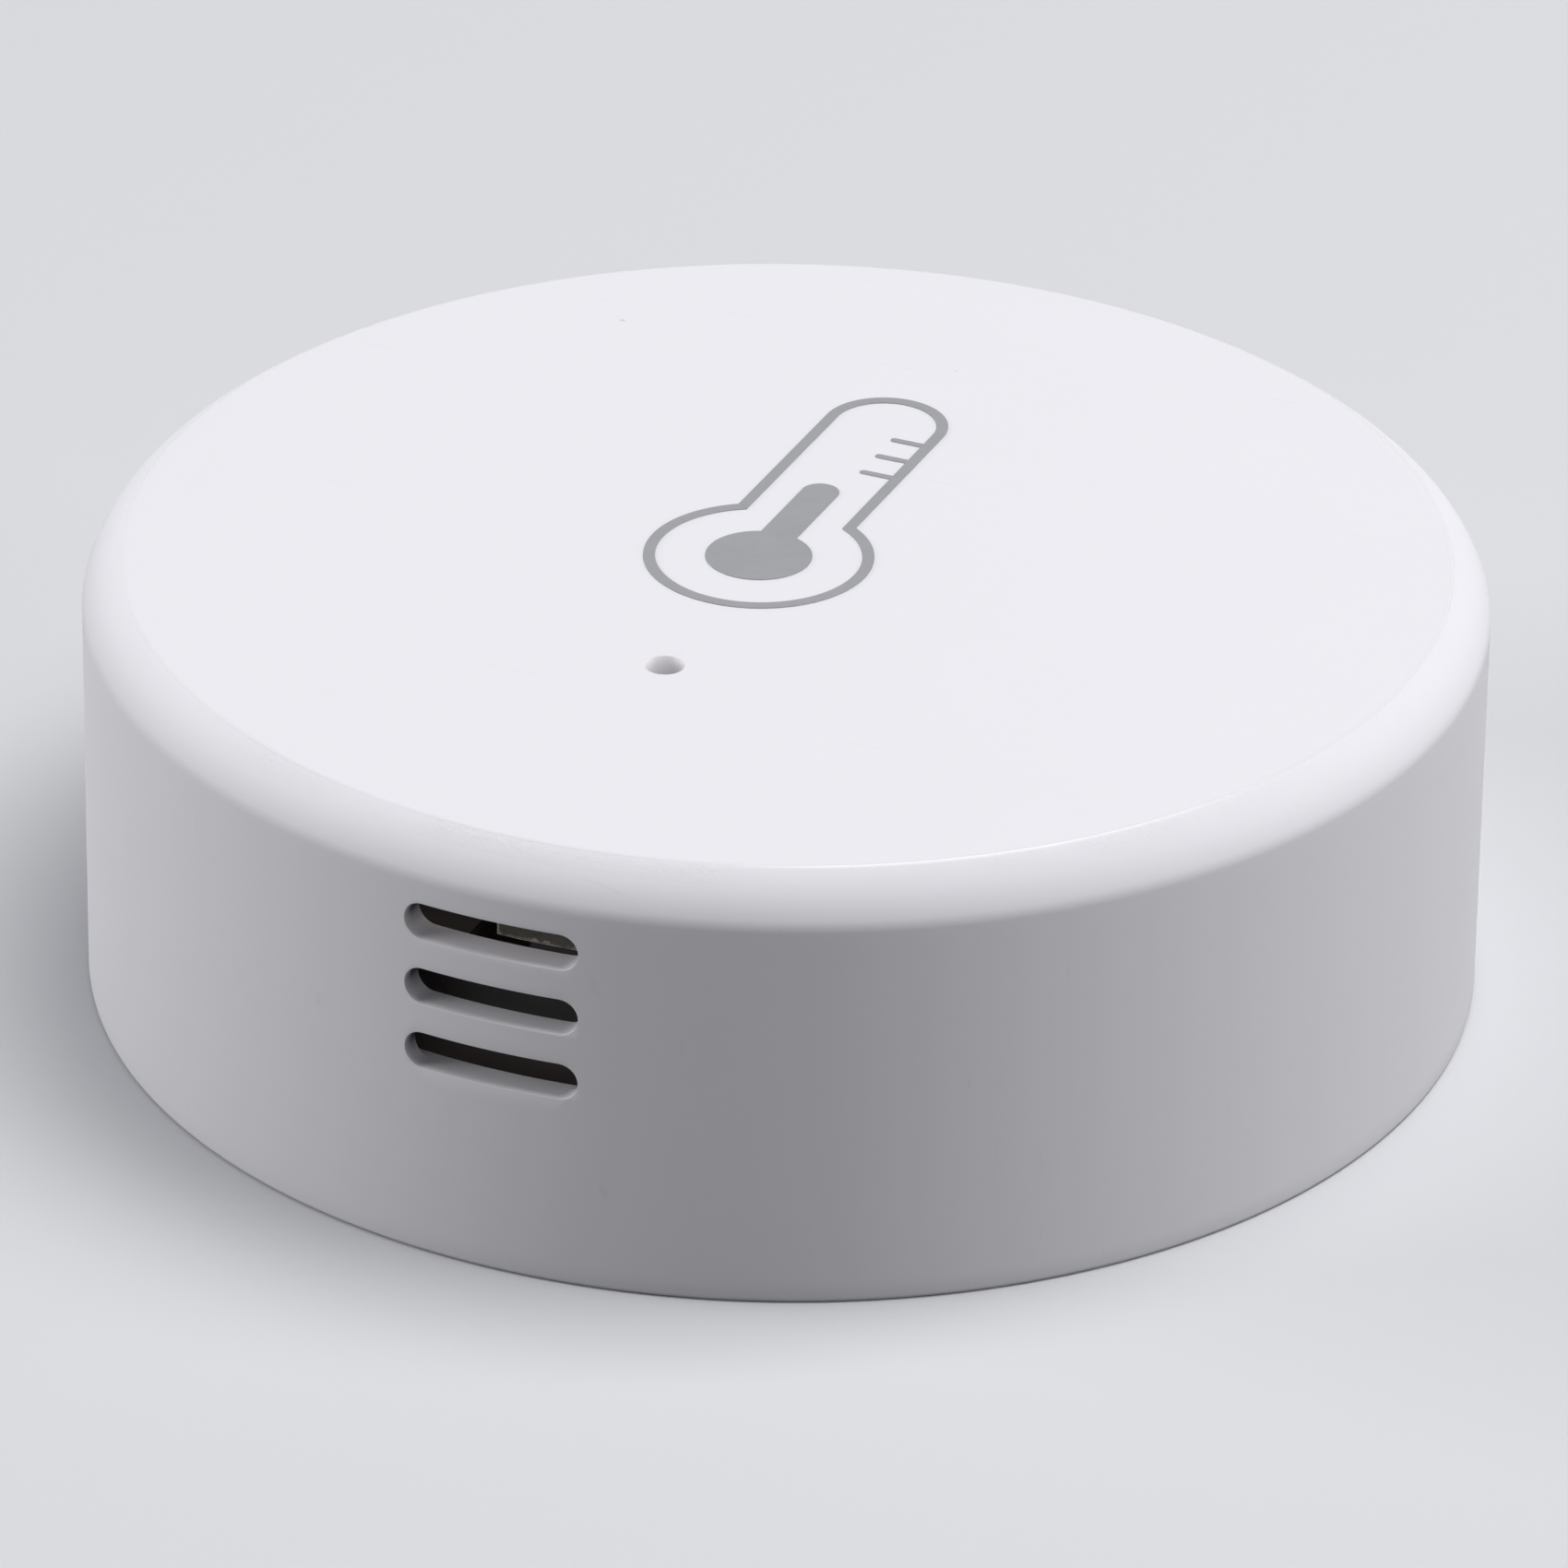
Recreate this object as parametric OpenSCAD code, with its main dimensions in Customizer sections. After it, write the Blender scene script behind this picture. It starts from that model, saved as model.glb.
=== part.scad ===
// Round wireless temperature and humidity sensor, resting on its flat base.
// Millimetres, +Z up. The origin is the centre of the base and the air slots face -Y.

/* [Shell] */
// Outer diameter of the round shell
shell_d = 40; // [39:0.5:44]
// Height from the base to the flat top
shell_h = 13; // [12.8:0.1:15]
// Thickness of the roof
roof_t = 1.4; // [1.1:0.1:1.5]
// Wall thickness just under the roof
wall_top_t = 0.95; // [0.9:0.05:1.1]
// Wall thickness at the base, thinner by the moulding draft
wall_base_t = 0.8; // [0.7:0.05:0.9]
// Radius of the wide arc of the rounded top edge
edge_r = 2.38; // [2:0.02:2.7]
// Radius of the tighter arc that ends the rounded edge in the wall
edge_end_r = 0.85; // [0.6:0.05:1]
// Tilt at which the edge round starts, which leaves a crease round the top, in degrees
edge_start = 27; // [20:1:32]
// Tilt at which the tighter arc takes over, in degrees
edge_join = 66; // [60:1:72]

/* [Air slots] */
// Number of air slots, one above the other
slot_count = 3; // [1:1:3]
// Length of a slot from end to end
slot_w = 5.2; // [3:0.1:6]
// Height of a slot
slot_h = 1.1; // [0.8:0.05:1.3]
// Distance between the centres of two slots
slot_pitch = 2; // [1.8:0.05:2.2]
// Height of the top slot's centre above the underside of the board
slot_rise = 1.1; // [0.9:0.05:1.2]
// Wall thickness at the lowest slot, where the inside is relieved
slot_wall_t = 0.6; // [0.5:0.05:0.7]
// Length of the relieved stretch past each end of the slots
relief_margin = 1.2; // [0.8:0.1:2]

/* [Pin hole] */
// Diameter of the pin hole over the reset switch
pin_hole_d = 1.13; // [0.9:0.01:1.4]
// Distance of the pin hole in front of the centre
pin_hole_front = 8; // [6:0.1:9]
// Distance of the pin hole to the left of the centre
pin_hole_left = 0.2; // [0:0.1:0.5]

/* [Thermometer mark] */
// Thickness of the printed ink
ink_t = 0.03; // [0.02:0.01:0.06]
// Width of the printed outline
line_w = 0.34; // [0.3:0.01:0.45]
// Outer radius of the bulb outline
bulb_r = 3.28; // [3:0.02:3.5]
// Radius of the filled bulb
fill_r = 1.52; // [1.3:0.02:1.7]
// Outer width of the tube outline
tube_w = 3.65; // [3.4:0.05:3.9]
// Distance from the bulb's centre to the end of the tube
tube_len = 11; // [10:0.1:11.5]
// Width of the filled stem
stem_w = 1.1; // [0.9:0.05:1.3]
// Distance from the bulb's centre to the end of the stem
stem_len = 4.95; // [4:0.05:5.5]
// Number of scale ticks
tick_count = 3; // [1:1:4]
// Length of a tick
tick_len = 1.15; // [0.8:0.05:1.2]
// Width of a tick
tick_w = 0.22; // [0.2:0.01:0.35]
// Distance between two ticks
tick_pitch = 1.14; // [0.9:0.02:1.3]
// Distance from the bulb's centre to the middle tick
tick_mid = 7.26; // [6.4:0.02:7.4]
// Distance of the bulb's centre to the left of the middle
bulb_left = 0.55; // [0:0.05:1]
// Distance of the bulb's centre in front of the middle
bulb_front = 0.75; // [0:0.05:1.2]
// Lean of the thermometer to the left, in degrees
mark_lean = 0.3; // [0:0.1:5]

/* [Base cover] */
// Thickness of the base cover's disc
cover_t = 1.3; // [1.1:0.1:1.4]
// Thickness of its upstanding ring
cover_ring_t = 0.8; // [0.7:0.05:0.9]
// Height of the ring above the disc
cover_ring_h = 1.9; // [1.8:0.05:2]
// Length of the coin slot
coin_slot_len = 14; // [10:0.5:16]
// Width of the coin slot
coin_slot_w = 1.9; // [1.6:0.1:2.4]
// Depth of the coin slot
coin_slot_depth = 0.7; // [0.5:0.05:0.8]
// Number of bayonet lugs
lug_count = 3; // [2:1:3]
// Height of a lug and of the catch it locks over
lug_h = 0.8; // [0.6:0.05:0.85]
// Angle that a lug takes up, in degrees
lug_angle = 24; // [16:1:26]
// How far a lug stands out of the ring
lug_w = 0.95; // [0.9:0.05:1.05]
// Width of the stop beside each lug
stop_w = 1; // [0.8:0.1:1.6]

/* [Coin cell] */
// Sheet thickness of its can and cap
cell_sheet_t = 0.3; // [0.25:0.01:0.35]
// Height of the cap above the can's rim
cap_rise = 0.4; // [0.35:0.05:0.5]
// Width of the can's rim turned in over the gasket
can_rim_w = 1.15; // [1:0.05:1.3]
// Thickness of the separator
separator_t = 0.15; // [0.1:0.01:0.2]

/* [Battery tray] */
// Width of the land for the screws, between the cell's pocket and the outer wall
land_w = 4.1; // [3.9:0.05:4.3]
// Thickness of the wall round the cell
pocket_wall_t = 0.85; // [0.8:0.05:1]
// Thickness of the web over the cell
web_t = 0.8; // [0.7:0.05:0.9]
// Thickness of the tray's outer wall
tray_wall_t = 0.8; // [0.7:0.05:0.9]
// Width of the gap between the tray's outer wall and the shell's
tray_gap = 0.85; // [0.75:0.05:0.9]
// Thickness of the flange that reaches out to the shell
flange_t = 0.8; // [0.7:0.05:0.9]
// Width of the flange inside the outer wall
flange_in_w = 1; // [0.8:0.1:1.2]
// Height of the room for parts under the board
under_room = 1.45; // [1.3:0.05:1.5]
// Radius of the pillars that carry the board
pillar_r = 1.6; // [1.5:0.05:1.7]
// Left edge of the sensor window, left of the slots' centre
window_left = 1.45; // [1.3:0.05:1.6]
// Right edge of the sensor window, right of the slots' centre
window_right = 4.6; // [4.4:0.1:5]
// Depth of the sensor window under the board
window_depth = 1.05; // [0.9:0.05:1.2]

/* [Circuit board] */
// Thickness of the circuit board
board_t = 1; // [0.8:0.1:1.1]
// Height of the room for parts over the board
over_room = 1.35; // [1.3:0.05:1.45]
// Gap between the board's edge and the shell's wall
board_gap = 1.15; // [1.05:0.05:1.3]
// Left edge of the tongue that holds the humidity sensor, left of the slots' centre
tongue_left = 0.72; // [0.6:0.02:0.9]
// Width of the tongue
tongue_w = 4.12; // [4:0.02:4.4]
// Length of the tongue
tongue_len = 3; // [2.9:0.1:3.4]
// Width of the milled gap left of the tongue
left_gap_w = 3.2; // [2.8:0.1:3.4]
// Width of the milled gap right of the tongue
right_gap_w = 1; // [0.8:0.1:1.2]

/* [Housing screws] */
// Number of housing screws
screw_count = 3; // [2:1:3]
// Diameter of the screw's shank
screw_d = 1.24; // [1.2:0.01:1.26]
// Diameter of the pilot bore in the shell's boss
pilot_d = 1.3; // [1.28:0.01:1.36]
// Diameter of the clearance holes in the tray and the board
screw_hole_d = 1.8; // [1.7:0.05:1.9]
// Diameter of the screw's head
head_d = 2.8; // [2.6:0.1:3]
// Height of the screw's head
head_h = 0.9; // [0.8:0.05:1]
// Wall thickness of the shell's screw bosses
boss_wall_t = 0.95; // [0.8:0.05:1.1]
// Depth of the pilot bore into the roof
pilot_in_roof = 0.8; // [0.5:0.05:0.9]
// Gap past the screw's tip
tip_gap = 0.3; // [0.2:0.05:0.4]

/* [Contacts] */
// Sheet thickness of the battery contacts
contact_t = 0.2; // [0.15:0.01:0.2]
// Height of the room for the spring contact over the cell
contact_room = 0.4; // [0.38:0.01:0.45]
// Length of the spring contact across the cell
spring_len = 13; // [12:0.1:14]
// Width of the spring contact
spring_w = 3.4; // [3:0.1:3.8]
// Width of the contacts' soldered tabs
tab_w = 1.2; // [1:0.05:1.3]
// How far the tabs stand out of the board
tab_out = 0.35; // [0.3:0.01:0.4]
// Width of the positive contact beside the cell
side_contact_w = 3; // [2.6:0.1:3.4]

/* [Reset switch] */
// Length of the switch's base
switch_l = 3; // [2.8:0.1:3.2]
// Width of the switch's base
switch_w = 2.6; // [2.4:0.1:2.8]
// Height of the switch's base
switch_h = 0.5; // [0.48:0.01:0.52]
// Depth of the well in the base
well_depth = 0.35; // [0.34:0.01:0.37]
// Radius of the well
well_r = 0.95; // [0.92:0.01:1]
// Thickness of the steel plate over the well
plate_t = 0.1; // [0.08:0.01:0.12]
// Radius of the plunger's stem
stem_r = 0.55; // [0.5:0.01:0.58]
// Height of the stem above the plate
stem_rise = 0.25; // [0.22:0.01:0.3]
// Thickness of the plunger's flange
plunger_flange_t = 0.1; // [0.09:0.01:0.11]
// Rise of the snap dome
dome_rise = 0.18; // [0.16:0.01:0.19]
// Sheet thickness of the snap dome
dome_t = 0.04; // [0.03:0.01:0.05]

/* [Parts on the board] */
// Side of the square radio chip
radio_w = 5; // [4:0.1:6]
// Height of the radio chip
radio_h = 0.85; // [0.7:0.05:0.9]
// Length of the radio crystal
crystal_l = 3.2; // [2.5:0.1:3.4]
// Width of the radio crystal
crystal_w = 2.5; // [2:0.1:2.7]
// Height of the radio crystal
crystal_h = 0.7; // [0.6:0.05:0.8]
// Length of the clock crystal
clock_l = 3.2; // [2:0.1:3.4]
// Width of the clock crystal
clock_w = 1.5; // [1.2:0.1:1.7]
// Height of the clock crystal
clock_h = 0.8; // [0.6:0.05:0.9]
// Length of the chip antenna
antenna_l = 5; // [3.2:0.1:5.4]
// Width of the chip antenna
antenna_w = 2; // [1.6:0.1:2.2]
// Height of the chip antenna
antenna_h = 0.9; // [0.7:0.05:0.95]
// Side of the humidity sensor
sensor_w = 2.5; // [2:0.05:2.6]
// Height of the humidity sensor
sensor_h = 0.9; // [0.7:0.05:1]
// Diameter of the opening in the humidity sensor
sensor_port_d = 1; // [0.7:0.05:1.2]
// Depth of that opening
sensor_port_depth = 0.4; // [0.2:0.05:0.5]
// Length of the reservoir capacitor
reservoir_l = 3.2; // [2.8:0.1:3.4]
// Width of the reservoir capacitor
reservoir_w = 2.5; // [2.2:0.1:2.7]
// Height of the reservoir capacitor
reservoir_h = 1.1; // [0.9:0.05:1.15]
// Length of the status lamp
lamp_l = 1.6; // [1.4:0.05:1.7]
// Width of the status lamp
lamp_w = 0.8; // [0.7:0.05:0.9]
// Height of the status lamp
lamp_h = 0.6; // [0.5:0.05:0.7]
// Length of a small chip capacitor or resistor
chip_l = 1; // [0.9:0.05:1.2]
// Width of a small chip capacitor or resistor
chip_w = 0.5; // [0.45:0.01:0.6]
// Height of a small chip capacitor
capacitor_h = 0.5; // [0.45:0.01:0.55]
// Height of a small chip resistor
resistor_h = 0.35; // [0.3:0.01:0.4]
// Distance between two chips in a row
chip_pitch = 1.1; // [1:0.05:1.2]

/* [Fits] */
// Gap between parts that move past or lie over each other
free_gap = 0.25; // [0.2:0.01:0.28]
// Gap round the edge of the base cover
cover_gap = 0.2; // [0.15:0.01:0.25]
// Gap between the cell and the pocket round it
cell_gap = 0.2; // [0.15:0.01:0.25]
// Gap between the cell and the base cover
cell_floor_gap = 0.3; // [0.25:0.01:0.35]
// Running clearance round the plunger's stem
stem_gap = 0.05; // [0.03:0.01:0.08]
// Free play of the plunger, up and down
plunger_play = 0.02; // [0.01:0.005:0.03]
// Clearance round a tab that goes through the board
tab_gap = 0.15; // [0.1:0.01:0.2]

/* [Hidden] */
$fn = 96;
// One overrun for all cuts
cut = 0.5;
// Turn from +X to the slots' side
slot_turn = -90;
// Turn from +X to the first screw; the rest follow evenly round the centre
first_screw_turn = 60;
// Turn from +X to the start of the first lug; the rest follow evenly
first_lug_turn = 30;

shell_r = shell_d / 2;
roof_z = shell_h - roof_t;
inner_top_r = shell_r - wall_top_t;
inner_base_r = shell_r - wall_base_t;

// Levels, from the roof down to the cell, which fills the height that is left
board_top_z = roof_z - over_room;
board_z = board_top_z - board_t;
under_z = board_z - under_room;
web_z = under_z - web_t;
cell_top_z = web_z - contact_room;
cell_z = cover_t + cell_floor_gap;

// Air slots, the highest first
slot_zs = [for (i = [0 : slot_count - 1]) board_z + slot_rise - i * slot_pitch];
slot_low_z = slot_zs[slot_count - 1];
relief_top_z = board_z;
relief_low_z = slot_low_z - slot_h / 2;
relief_turn = 2 * asin((slot_w / 2 + relief_margin) / shell_r);

// Base cover and its bayonet
cover_r = inner_base_r - cover_gap;
lug_top_z = cover_t + cover_ring_h;
lug_z = lug_top_z - lug_h;
catch_top_z = lug_z - cover_gap;
catch_z = cover_t + cover_gap;
cover_ring_r = cover_r - lug_w;
catch_r = cover_ring_r + cover_gap;
stop_turn = asin(stop_w / cover_r);
lug_gap_turn = asin(free_gap / cover_r);

// Tray
tray_r = inner_top_r - tray_gap;
tray_inner_r = tray_r - tray_wall_t;
tray_z = lug_top_z + free_gap;
flange_r = inner_top_r - cover_gap;
pocket_outer_r = tray_inner_r - land_w;
pocket_r = pocket_outer_r - pocket_wall_t;
screw_circle_r = (pocket_outer_r + tray_inner_r) / 2;
screw_turns = [for (i = [0 : screw_count - 1]) first_screw_turn + i * 360 / screw_count];
boss_r = pilot_d / 2 + boss_wall_t;

// Cell, 24.5 across and 5 high at the standard size
cell_r = pocket_r - cell_gap;
can_top_z = cell_top_z - cap_rise;
can_inner_r = cell_r - cell_sheet_t;
rim_inner_r = cell_r - can_rim_w;
collar_t = cell_sheet_t / 3;
cap_r = rim_inner_r - collar_t;
cathode_z = cell_z + cell_sheet_t;
anode_top_z = cell_top_z - cell_sheet_t;
filling_h = anode_top_z - cathode_z;
// Shares of the height inside the cell that the cathode pellet and the gasket take
cathode_share = 0.5;
gasket_share = 0.135;
separator_z = cathode_z + cathode_share * filling_h;
anode_z = separator_z + separator_t;
gasket_top_z = can_top_z - cell_sheet_t;
gasket_z = gasket_top_z - gasket_share * filling_h;

// Cross recess in the screws' heads, as shares of the head
recess_len_share = 0.6;
recess_width_share = 0.14;
recess_depth_share = 0.5;

// Board
board_r = inner_top_r - board_gap;
tongue_front_y = -board_r;

// Contacts
// Turn from +X to the positive contact
side_contact_turn = 150;
side_recess_r = cell_r + 2 * contact_t + cell_gap;
spring_tab_y = spring_len / 2;

// Reset switch, under the pin hole
switch_x = -pin_hole_left;
switch_y = -pin_hole_front;
well_z = board_top_z + switch_h - well_depth;
switch_top_z = board_top_z + switch_h;
plate_top_z = switch_top_z + plate_t;
plunger_flange_r = well_r - 2 * stem_gap;
dome_r = well_r - stem_gap;
dome_ball_r = (dome_r * dome_r + dome_rise * dome_rise) / (2 * dome_rise);

// Places of the parts on the board, as shares of the board's radius
radio_share = [0.2, 0.22];
crystal_share = [-0.24, 0.2];
clock_share = [-0.24, -0.06];
antenna_share = [-0.16, 0.83];
reservoir_share = [-0.34, -0.36];
capacitor_shares = [[0.42, -0.14], [-0.5, 0.42], [0.28, 0.56]];
resistor_shares = [[0.5, -0.34], [-0.3, -0.44]];
chips_in_row = 3;
lamp_x = switch_x - switch_l / 2 - lamp_w;

// A flat ring standing on z
module ring(outer_r, inner_r, z, h) {
    translate([0, 0, z])
        difference() {
            cylinder(r = outer_r, h = h);
            translate([0, 0, -cut])
                cylinder(r = inner_r, h = h + 2 * cut);
        }
}

// A stretch of ring that starts at one angle and turns through another
module arc_block(outer_r, inner_r, z, h, start, turn) {
    rotate([0, 0, start])
        translate([0, 0, z])
            rotate_extrude(angle = turn)
                translate([inner_r, 0])
                    square([outer_r - inner_r, h]);
}

// A block centred on x and y and standing on z
module block(size, place) {
    translate([place[0] - size[0] / 2, place[1] - size[1] / 2, place[2]])
        cube(size);
}

// Copies at the screws' places
module at_screws() {
    for (turn = screw_turns)
        rotate([0, 0, turn])
            translate([screw_circle_r, 0, 0])
                children();
}

// Half section of the shell's outside: its top edge is a wide arc that ends in a tighter one
module outside_section() {
    end_x = shell_r - edge_end_r;
    end_z = shell_h - edge_r * (cos(edge_start) - cos(edge_join)) - edge_end_r * cos(edge_join);
    wide_x = end_x - (edge_r - edge_end_r) * sin(edge_join);
    wide_z = end_z - (edge_r - edge_end_r) * cos(edge_join);
    intersection() {
        square([shell_r, shell_h]);
        union() {
            square([shell_r, end_z]);
            square([wide_x + edge_r * sin(edge_start), shell_h]);
            translate([end_x, end_z])
                circle(r = edge_end_r);
            intersection() {
                translate([wide_x, wide_z])
                    circle(r = edge_r);
                translate([0, end_z + edge_end_r * cos(edge_join)])
                    square([shell_r, shell_h]);
            }
        }
    }
}

// Half section of the space inside the shell, wider at the base by the draft
module inside_section() {
    polygon([
        [0, -cut],
        [inner_base_r, -cut],
        [inner_base_r, 0],
        [inner_top_r, roof_z],
        [0, roof_z]
    ]);
}

// The relief behind the slots, deepest at the lowest one
module slot_relief() {
    rotate([0, 0, slot_turn - relief_turn / 2])
        rotate_extrude(angle = relief_turn)
            polygon([
                [tray_r, relief_low_z],
                [shell_r - slot_wall_t, relief_low_z],
                [inner_top_r, relief_top_z],
                [tray_r, relief_top_z]
            ]);
}

// One slot with round ends, cut straight along -Y
module air_slot(z) {
    translate([0, -tray_r, z])
        rotate([90, 0, 0])
            linear_extrude(height = shell_r - tray_r + cut) {
                square([slot_w - slot_h, slot_h], center = true);
                for (side = [-1, 1])
                    translate([side * (slot_w - slot_h) / 2, 0])
                        circle(d = slot_h);
            }
}

// The catches that the base cover's lugs lock over, each with its stop
module catches() {
    for (i = [0 : lug_count - 1]) {
        start = first_lug_turn + i * 360 / lug_count;
        arc_block(inner_base_r, catch_r, catch_z, catch_top_z - catch_z, start, lug_angle);
        arc_block(inner_base_r, catch_r, catch_z, lug_top_z - catch_z,
            start + lug_angle + lug_gap_turn, stop_turn);
    }
}

// The white moulded shell: roof, wall, screw bosses and bayonet catches in one piece
module top_shell() {
    color("whitesmoke")
        difference() {
            union() {
                difference() {
                    rotate_extrude()
                        outside_section();
                    rotate_extrude()
                        inside_section();
                    slot_relief();
                }
                at_screws()
                    translate([0, 0, board_top_z])
                        cylinder(r = boss_r, h = shell_h - roof_t / 2 - board_top_z);
                catches();
            }
            for (z = slot_zs)
                air_slot(z);
            translate([switch_x, switch_y, roof_z - cut])
                cylinder(d = pin_hole_d, h = roof_t + 2 * cut);
            at_screws()
                translate([0, 0, board_top_z - cut])
                    cylinder(d = pilot_d, h = roof_z + pilot_in_roof - board_top_z + cut);
        }
}

// The outline's inner and outer shapes: a bulb and a round-ended tube
module bulb_and_tube(r, half_w) {
    circle(r = r);
    translate([-half_w, 0])
        square([2 * half_w, tube_len - tube_w / 2]);
    translate([0, tube_len - tube_w / 2])
        circle(r = half_w);
}

// The grey thermometer printed on the roof
module thermometer_mark() {
    color("darkgray")
        translate([-bulb_left, -bulb_front, shell_h])
            rotate([0, 0, mark_lean])
                linear_extrude(height = ink_t) {
                    difference() {
                        bulb_and_tube(bulb_r, tube_w / 2);
                        bulb_and_tube(bulb_r - line_w, tube_w / 2 - line_w);
                    }
                    circle(r = fill_r);
                    translate([-stem_w / 2, 0])
                        square([stem_w, stem_len - stem_w / 2]);
                    translate([0, stem_len - stem_w / 2])
                        circle(d = stem_w);
                    for (i = [0 : tick_count - 1])
                        translate([tube_w / 2 - line_w / 2 - tick_len,
                            tick_mid + (i - (tick_count - 1) / 2) * tick_pitch - tick_w / 2])
                            square([tick_len, tick_w]);
                }
}

// The white base cover: a disc with a coin slot, and a ring whose lugs lock in the shell
module base_cover() {
    color("white")
        difference() {
            union() {
                cylinder(r = cover_r, h = cover_t);
                ring(cover_ring_r, cover_ring_r - cover_ring_t, cover_t, cover_ring_h);
                for (i = [0 : lug_count - 1])
                    arc_block(cover_r, cover_ring_r - cover_ring_t / 2, lug_z, lug_h,
                        first_lug_turn + i * 360 / lug_count, lug_angle);
            }
            block([coin_slot_len, coin_slot_w, coin_slot_depth + cut], [0, 0, -cut]);
        }
}

// The black tray that holds the cell from below and the board on top
module battery_tray() {
    window_w = window_left + window_right;
    window_x = (window_right - window_left) / 2;
    color("dimgray")
        difference() {
            union() {
                ring(tray_r, tray_inner_r, tray_z, board_z - tray_z);
                ring(flange_r, tray_inner_r - flange_in_w, board_z - flange_t, flange_t);
                translate([0, 0, web_z])
                    cylinder(r = tray_r - tray_wall_t / 2, h = web_t);
                ring(pocket_outer_r, pocket_r, cell_z, web_z - cell_z + web_t / 2);
                at_screws()
                    translate([0, 0, web_z])
                        cylinder(r = pillar_r, h = board_z - web_z);
            }
            at_screws()
                translate([0, 0, web_z - cut])
                    cylinder(d = screw_hole_d, h = board_z - web_z + 2 * cut);
            block([window_w, 2 * (shell_r - screw_circle_r), window_depth + cut],
                [window_x, -shell_r, board_z - window_depth]);
            block([tab_w + 2 * tab_gap, contact_t + 2 * tab_gap, web_t + 2 * cut],
                [0, spring_tab_y - contact_t / 2, web_z - cut]);
            rotate([0, 0, side_contact_turn])
                translate([cell_r, -side_contact_w / 2 - tab_gap, cell_z - cut])
                    cube([side_recess_r - cell_r, side_contact_w + 2 * tab_gap,
                        under_z - cell_z + 2 * cut]);
        }
}

// Self-tapping screws that clamp the tray and the board to the shell's bosses
module housing_screws() {
    shank_top_z = roof_z + pilot_in_roof - tip_gap;
    color("silver")
        at_screws()
            difference() {
                union() {
                    translate([0, 0, web_z - head_h])
                        cylinder(d = head_d, h = head_h);
                    translate([0, 0, web_z - head_h / 2])
                        cylinder(d = screw_d, h = shank_top_z - web_z + head_h / 2);
                }
                for (turn = [0, 90])
                    rotate([0, 0, turn])
                        block([head_d * recess_len_share, head_d * recess_width_share,
                            head_h * recess_depth_share + cut], [0, 0, web_z - head_h - cut]);
            }
}

// The black board, with a tongue for the humidity sensor between two milled gaps
module circuit_board() {
    gap_depth = tongue_len + cut;
    color("darkslategray")
        difference() {
            translate([0, 0, board_z])
                cylinder(r = board_r, h = board_t);
            translate([-tongue_left - left_gap_w, tongue_front_y - cut, board_z - cut])
                cube([left_gap_w, gap_depth, board_t + 2 * cut]);
            translate([tongue_w - tongue_left, tongue_front_y - cut, board_z - cut])
                cube([right_gap_w, gap_depth, board_t + 2 * cut]);
            at_screws()
                translate([0, 0, board_z - cut])
                    cylinder(d = screw_hole_d, h = board_t + 2 * cut);
            block([tab_w + 2 * tab_gap, contact_t + 2 * tab_gap, board_t + 2 * cut],
                [0, spring_tab_y - contact_t / 2, board_z - cut]);
            rotate([0, 0, side_contact_turn])
                block([contact_t + 2 * tab_gap, tab_w + 2 * tab_gap, board_t + 2 * cut],
                    [cell_r + contact_t / 2, 0, board_z - cut]);
        }
}

// The humidity sensor under the tongue, with its round opening facing down
module humidity_sensor() {
    color("black")
        translate([tongue_w / 2 - tongue_left, tongue_front_y + tongue_len / 2, board_z - sensor_h])
            difference() {
                block([sensor_w, sensor_w, sensor_h], [0, 0, 0]);
                translate([0, 0, -cut])
                    cylinder(d = sensor_port_d, h = sensor_port_depth + cut);
            }
}

// A part soldered to the top of the board at a share of the board's radius
module on_board(size, share) {
    block(size, [share[0] * board_r, share[1] * board_r, board_top_z]);
}

module radio_chip() {
    color("black")
        on_board([radio_w, radio_w, radio_h], radio_share);
}

module radio_crystal() {
    color("silver")
        on_board([crystal_l, crystal_w, crystal_h], crystal_share);
}

module clock_crystal() {
    color("lightgray")
        on_board([clock_l, clock_w, clock_h], clock_share);
}

module chip_antenna() {
    color("ivory")
        on_board([antenna_l, antenna_w, antenna_h], antenna_share);
}

// The lamp beside the switch, whose light comes out of the pin hole
module status_lamp() {
    color("lightyellow")
        block([lamp_w, lamp_l, lamp_h], [lamp_x, switch_y, board_top_z]);
}

// The large capacitor under the board, which feeds the radio's short bursts
module reservoir_capacitor() {
    color("tan")
        block([reservoir_l, reservoir_w, reservoir_h],
            [reservoir_share[0] * board_r, reservoir_share[1] * board_r, board_z - reservoir_h]);
}

// Rows of small chips, side by side from the place that each share gives
module chip_rows(shares, h) {
    for (share = shares)
        for (i = [0 : chips_in_row - 1])
            block([chip_w, chip_l, h],
                [share[0] * board_r + i * chip_pitch, share[1] * board_r, board_top_z]);
}

module chip_capacitors() {
    color("peru")
        chip_rows(capacitor_shares, capacitor_h);
}

module chip_resistors() {
    color("darkslategray")
        chip_rows(resistor_shares, resistor_h);
}

// The reset switch's moulded base, with a round well for the snap dome
module switch_base() {
    color("black")
        translate([switch_x, switch_y, board_top_z])
            difference() {
                block([switch_l, switch_w, switch_h], [0, 0, 0]);
                translate([0, 0, switch_h - well_depth])
                    cylinder(r = well_r, h = well_depth + cut);
            }
}

// The domed steel spring that clicks and pushes the plunger back
module switch_dome() {
    color("silver")
        translate([switch_x, switch_y, well_z])
            intersection() {
                cylinder(r = dome_r, h = dome_rise);
                translate([0, 0, dome_rise - dome_ball_r])
                    difference() {
                        sphere(r = dome_ball_r);
                        sphere(r = dome_ball_r - dome_t);
                    }
            }
}

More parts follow.
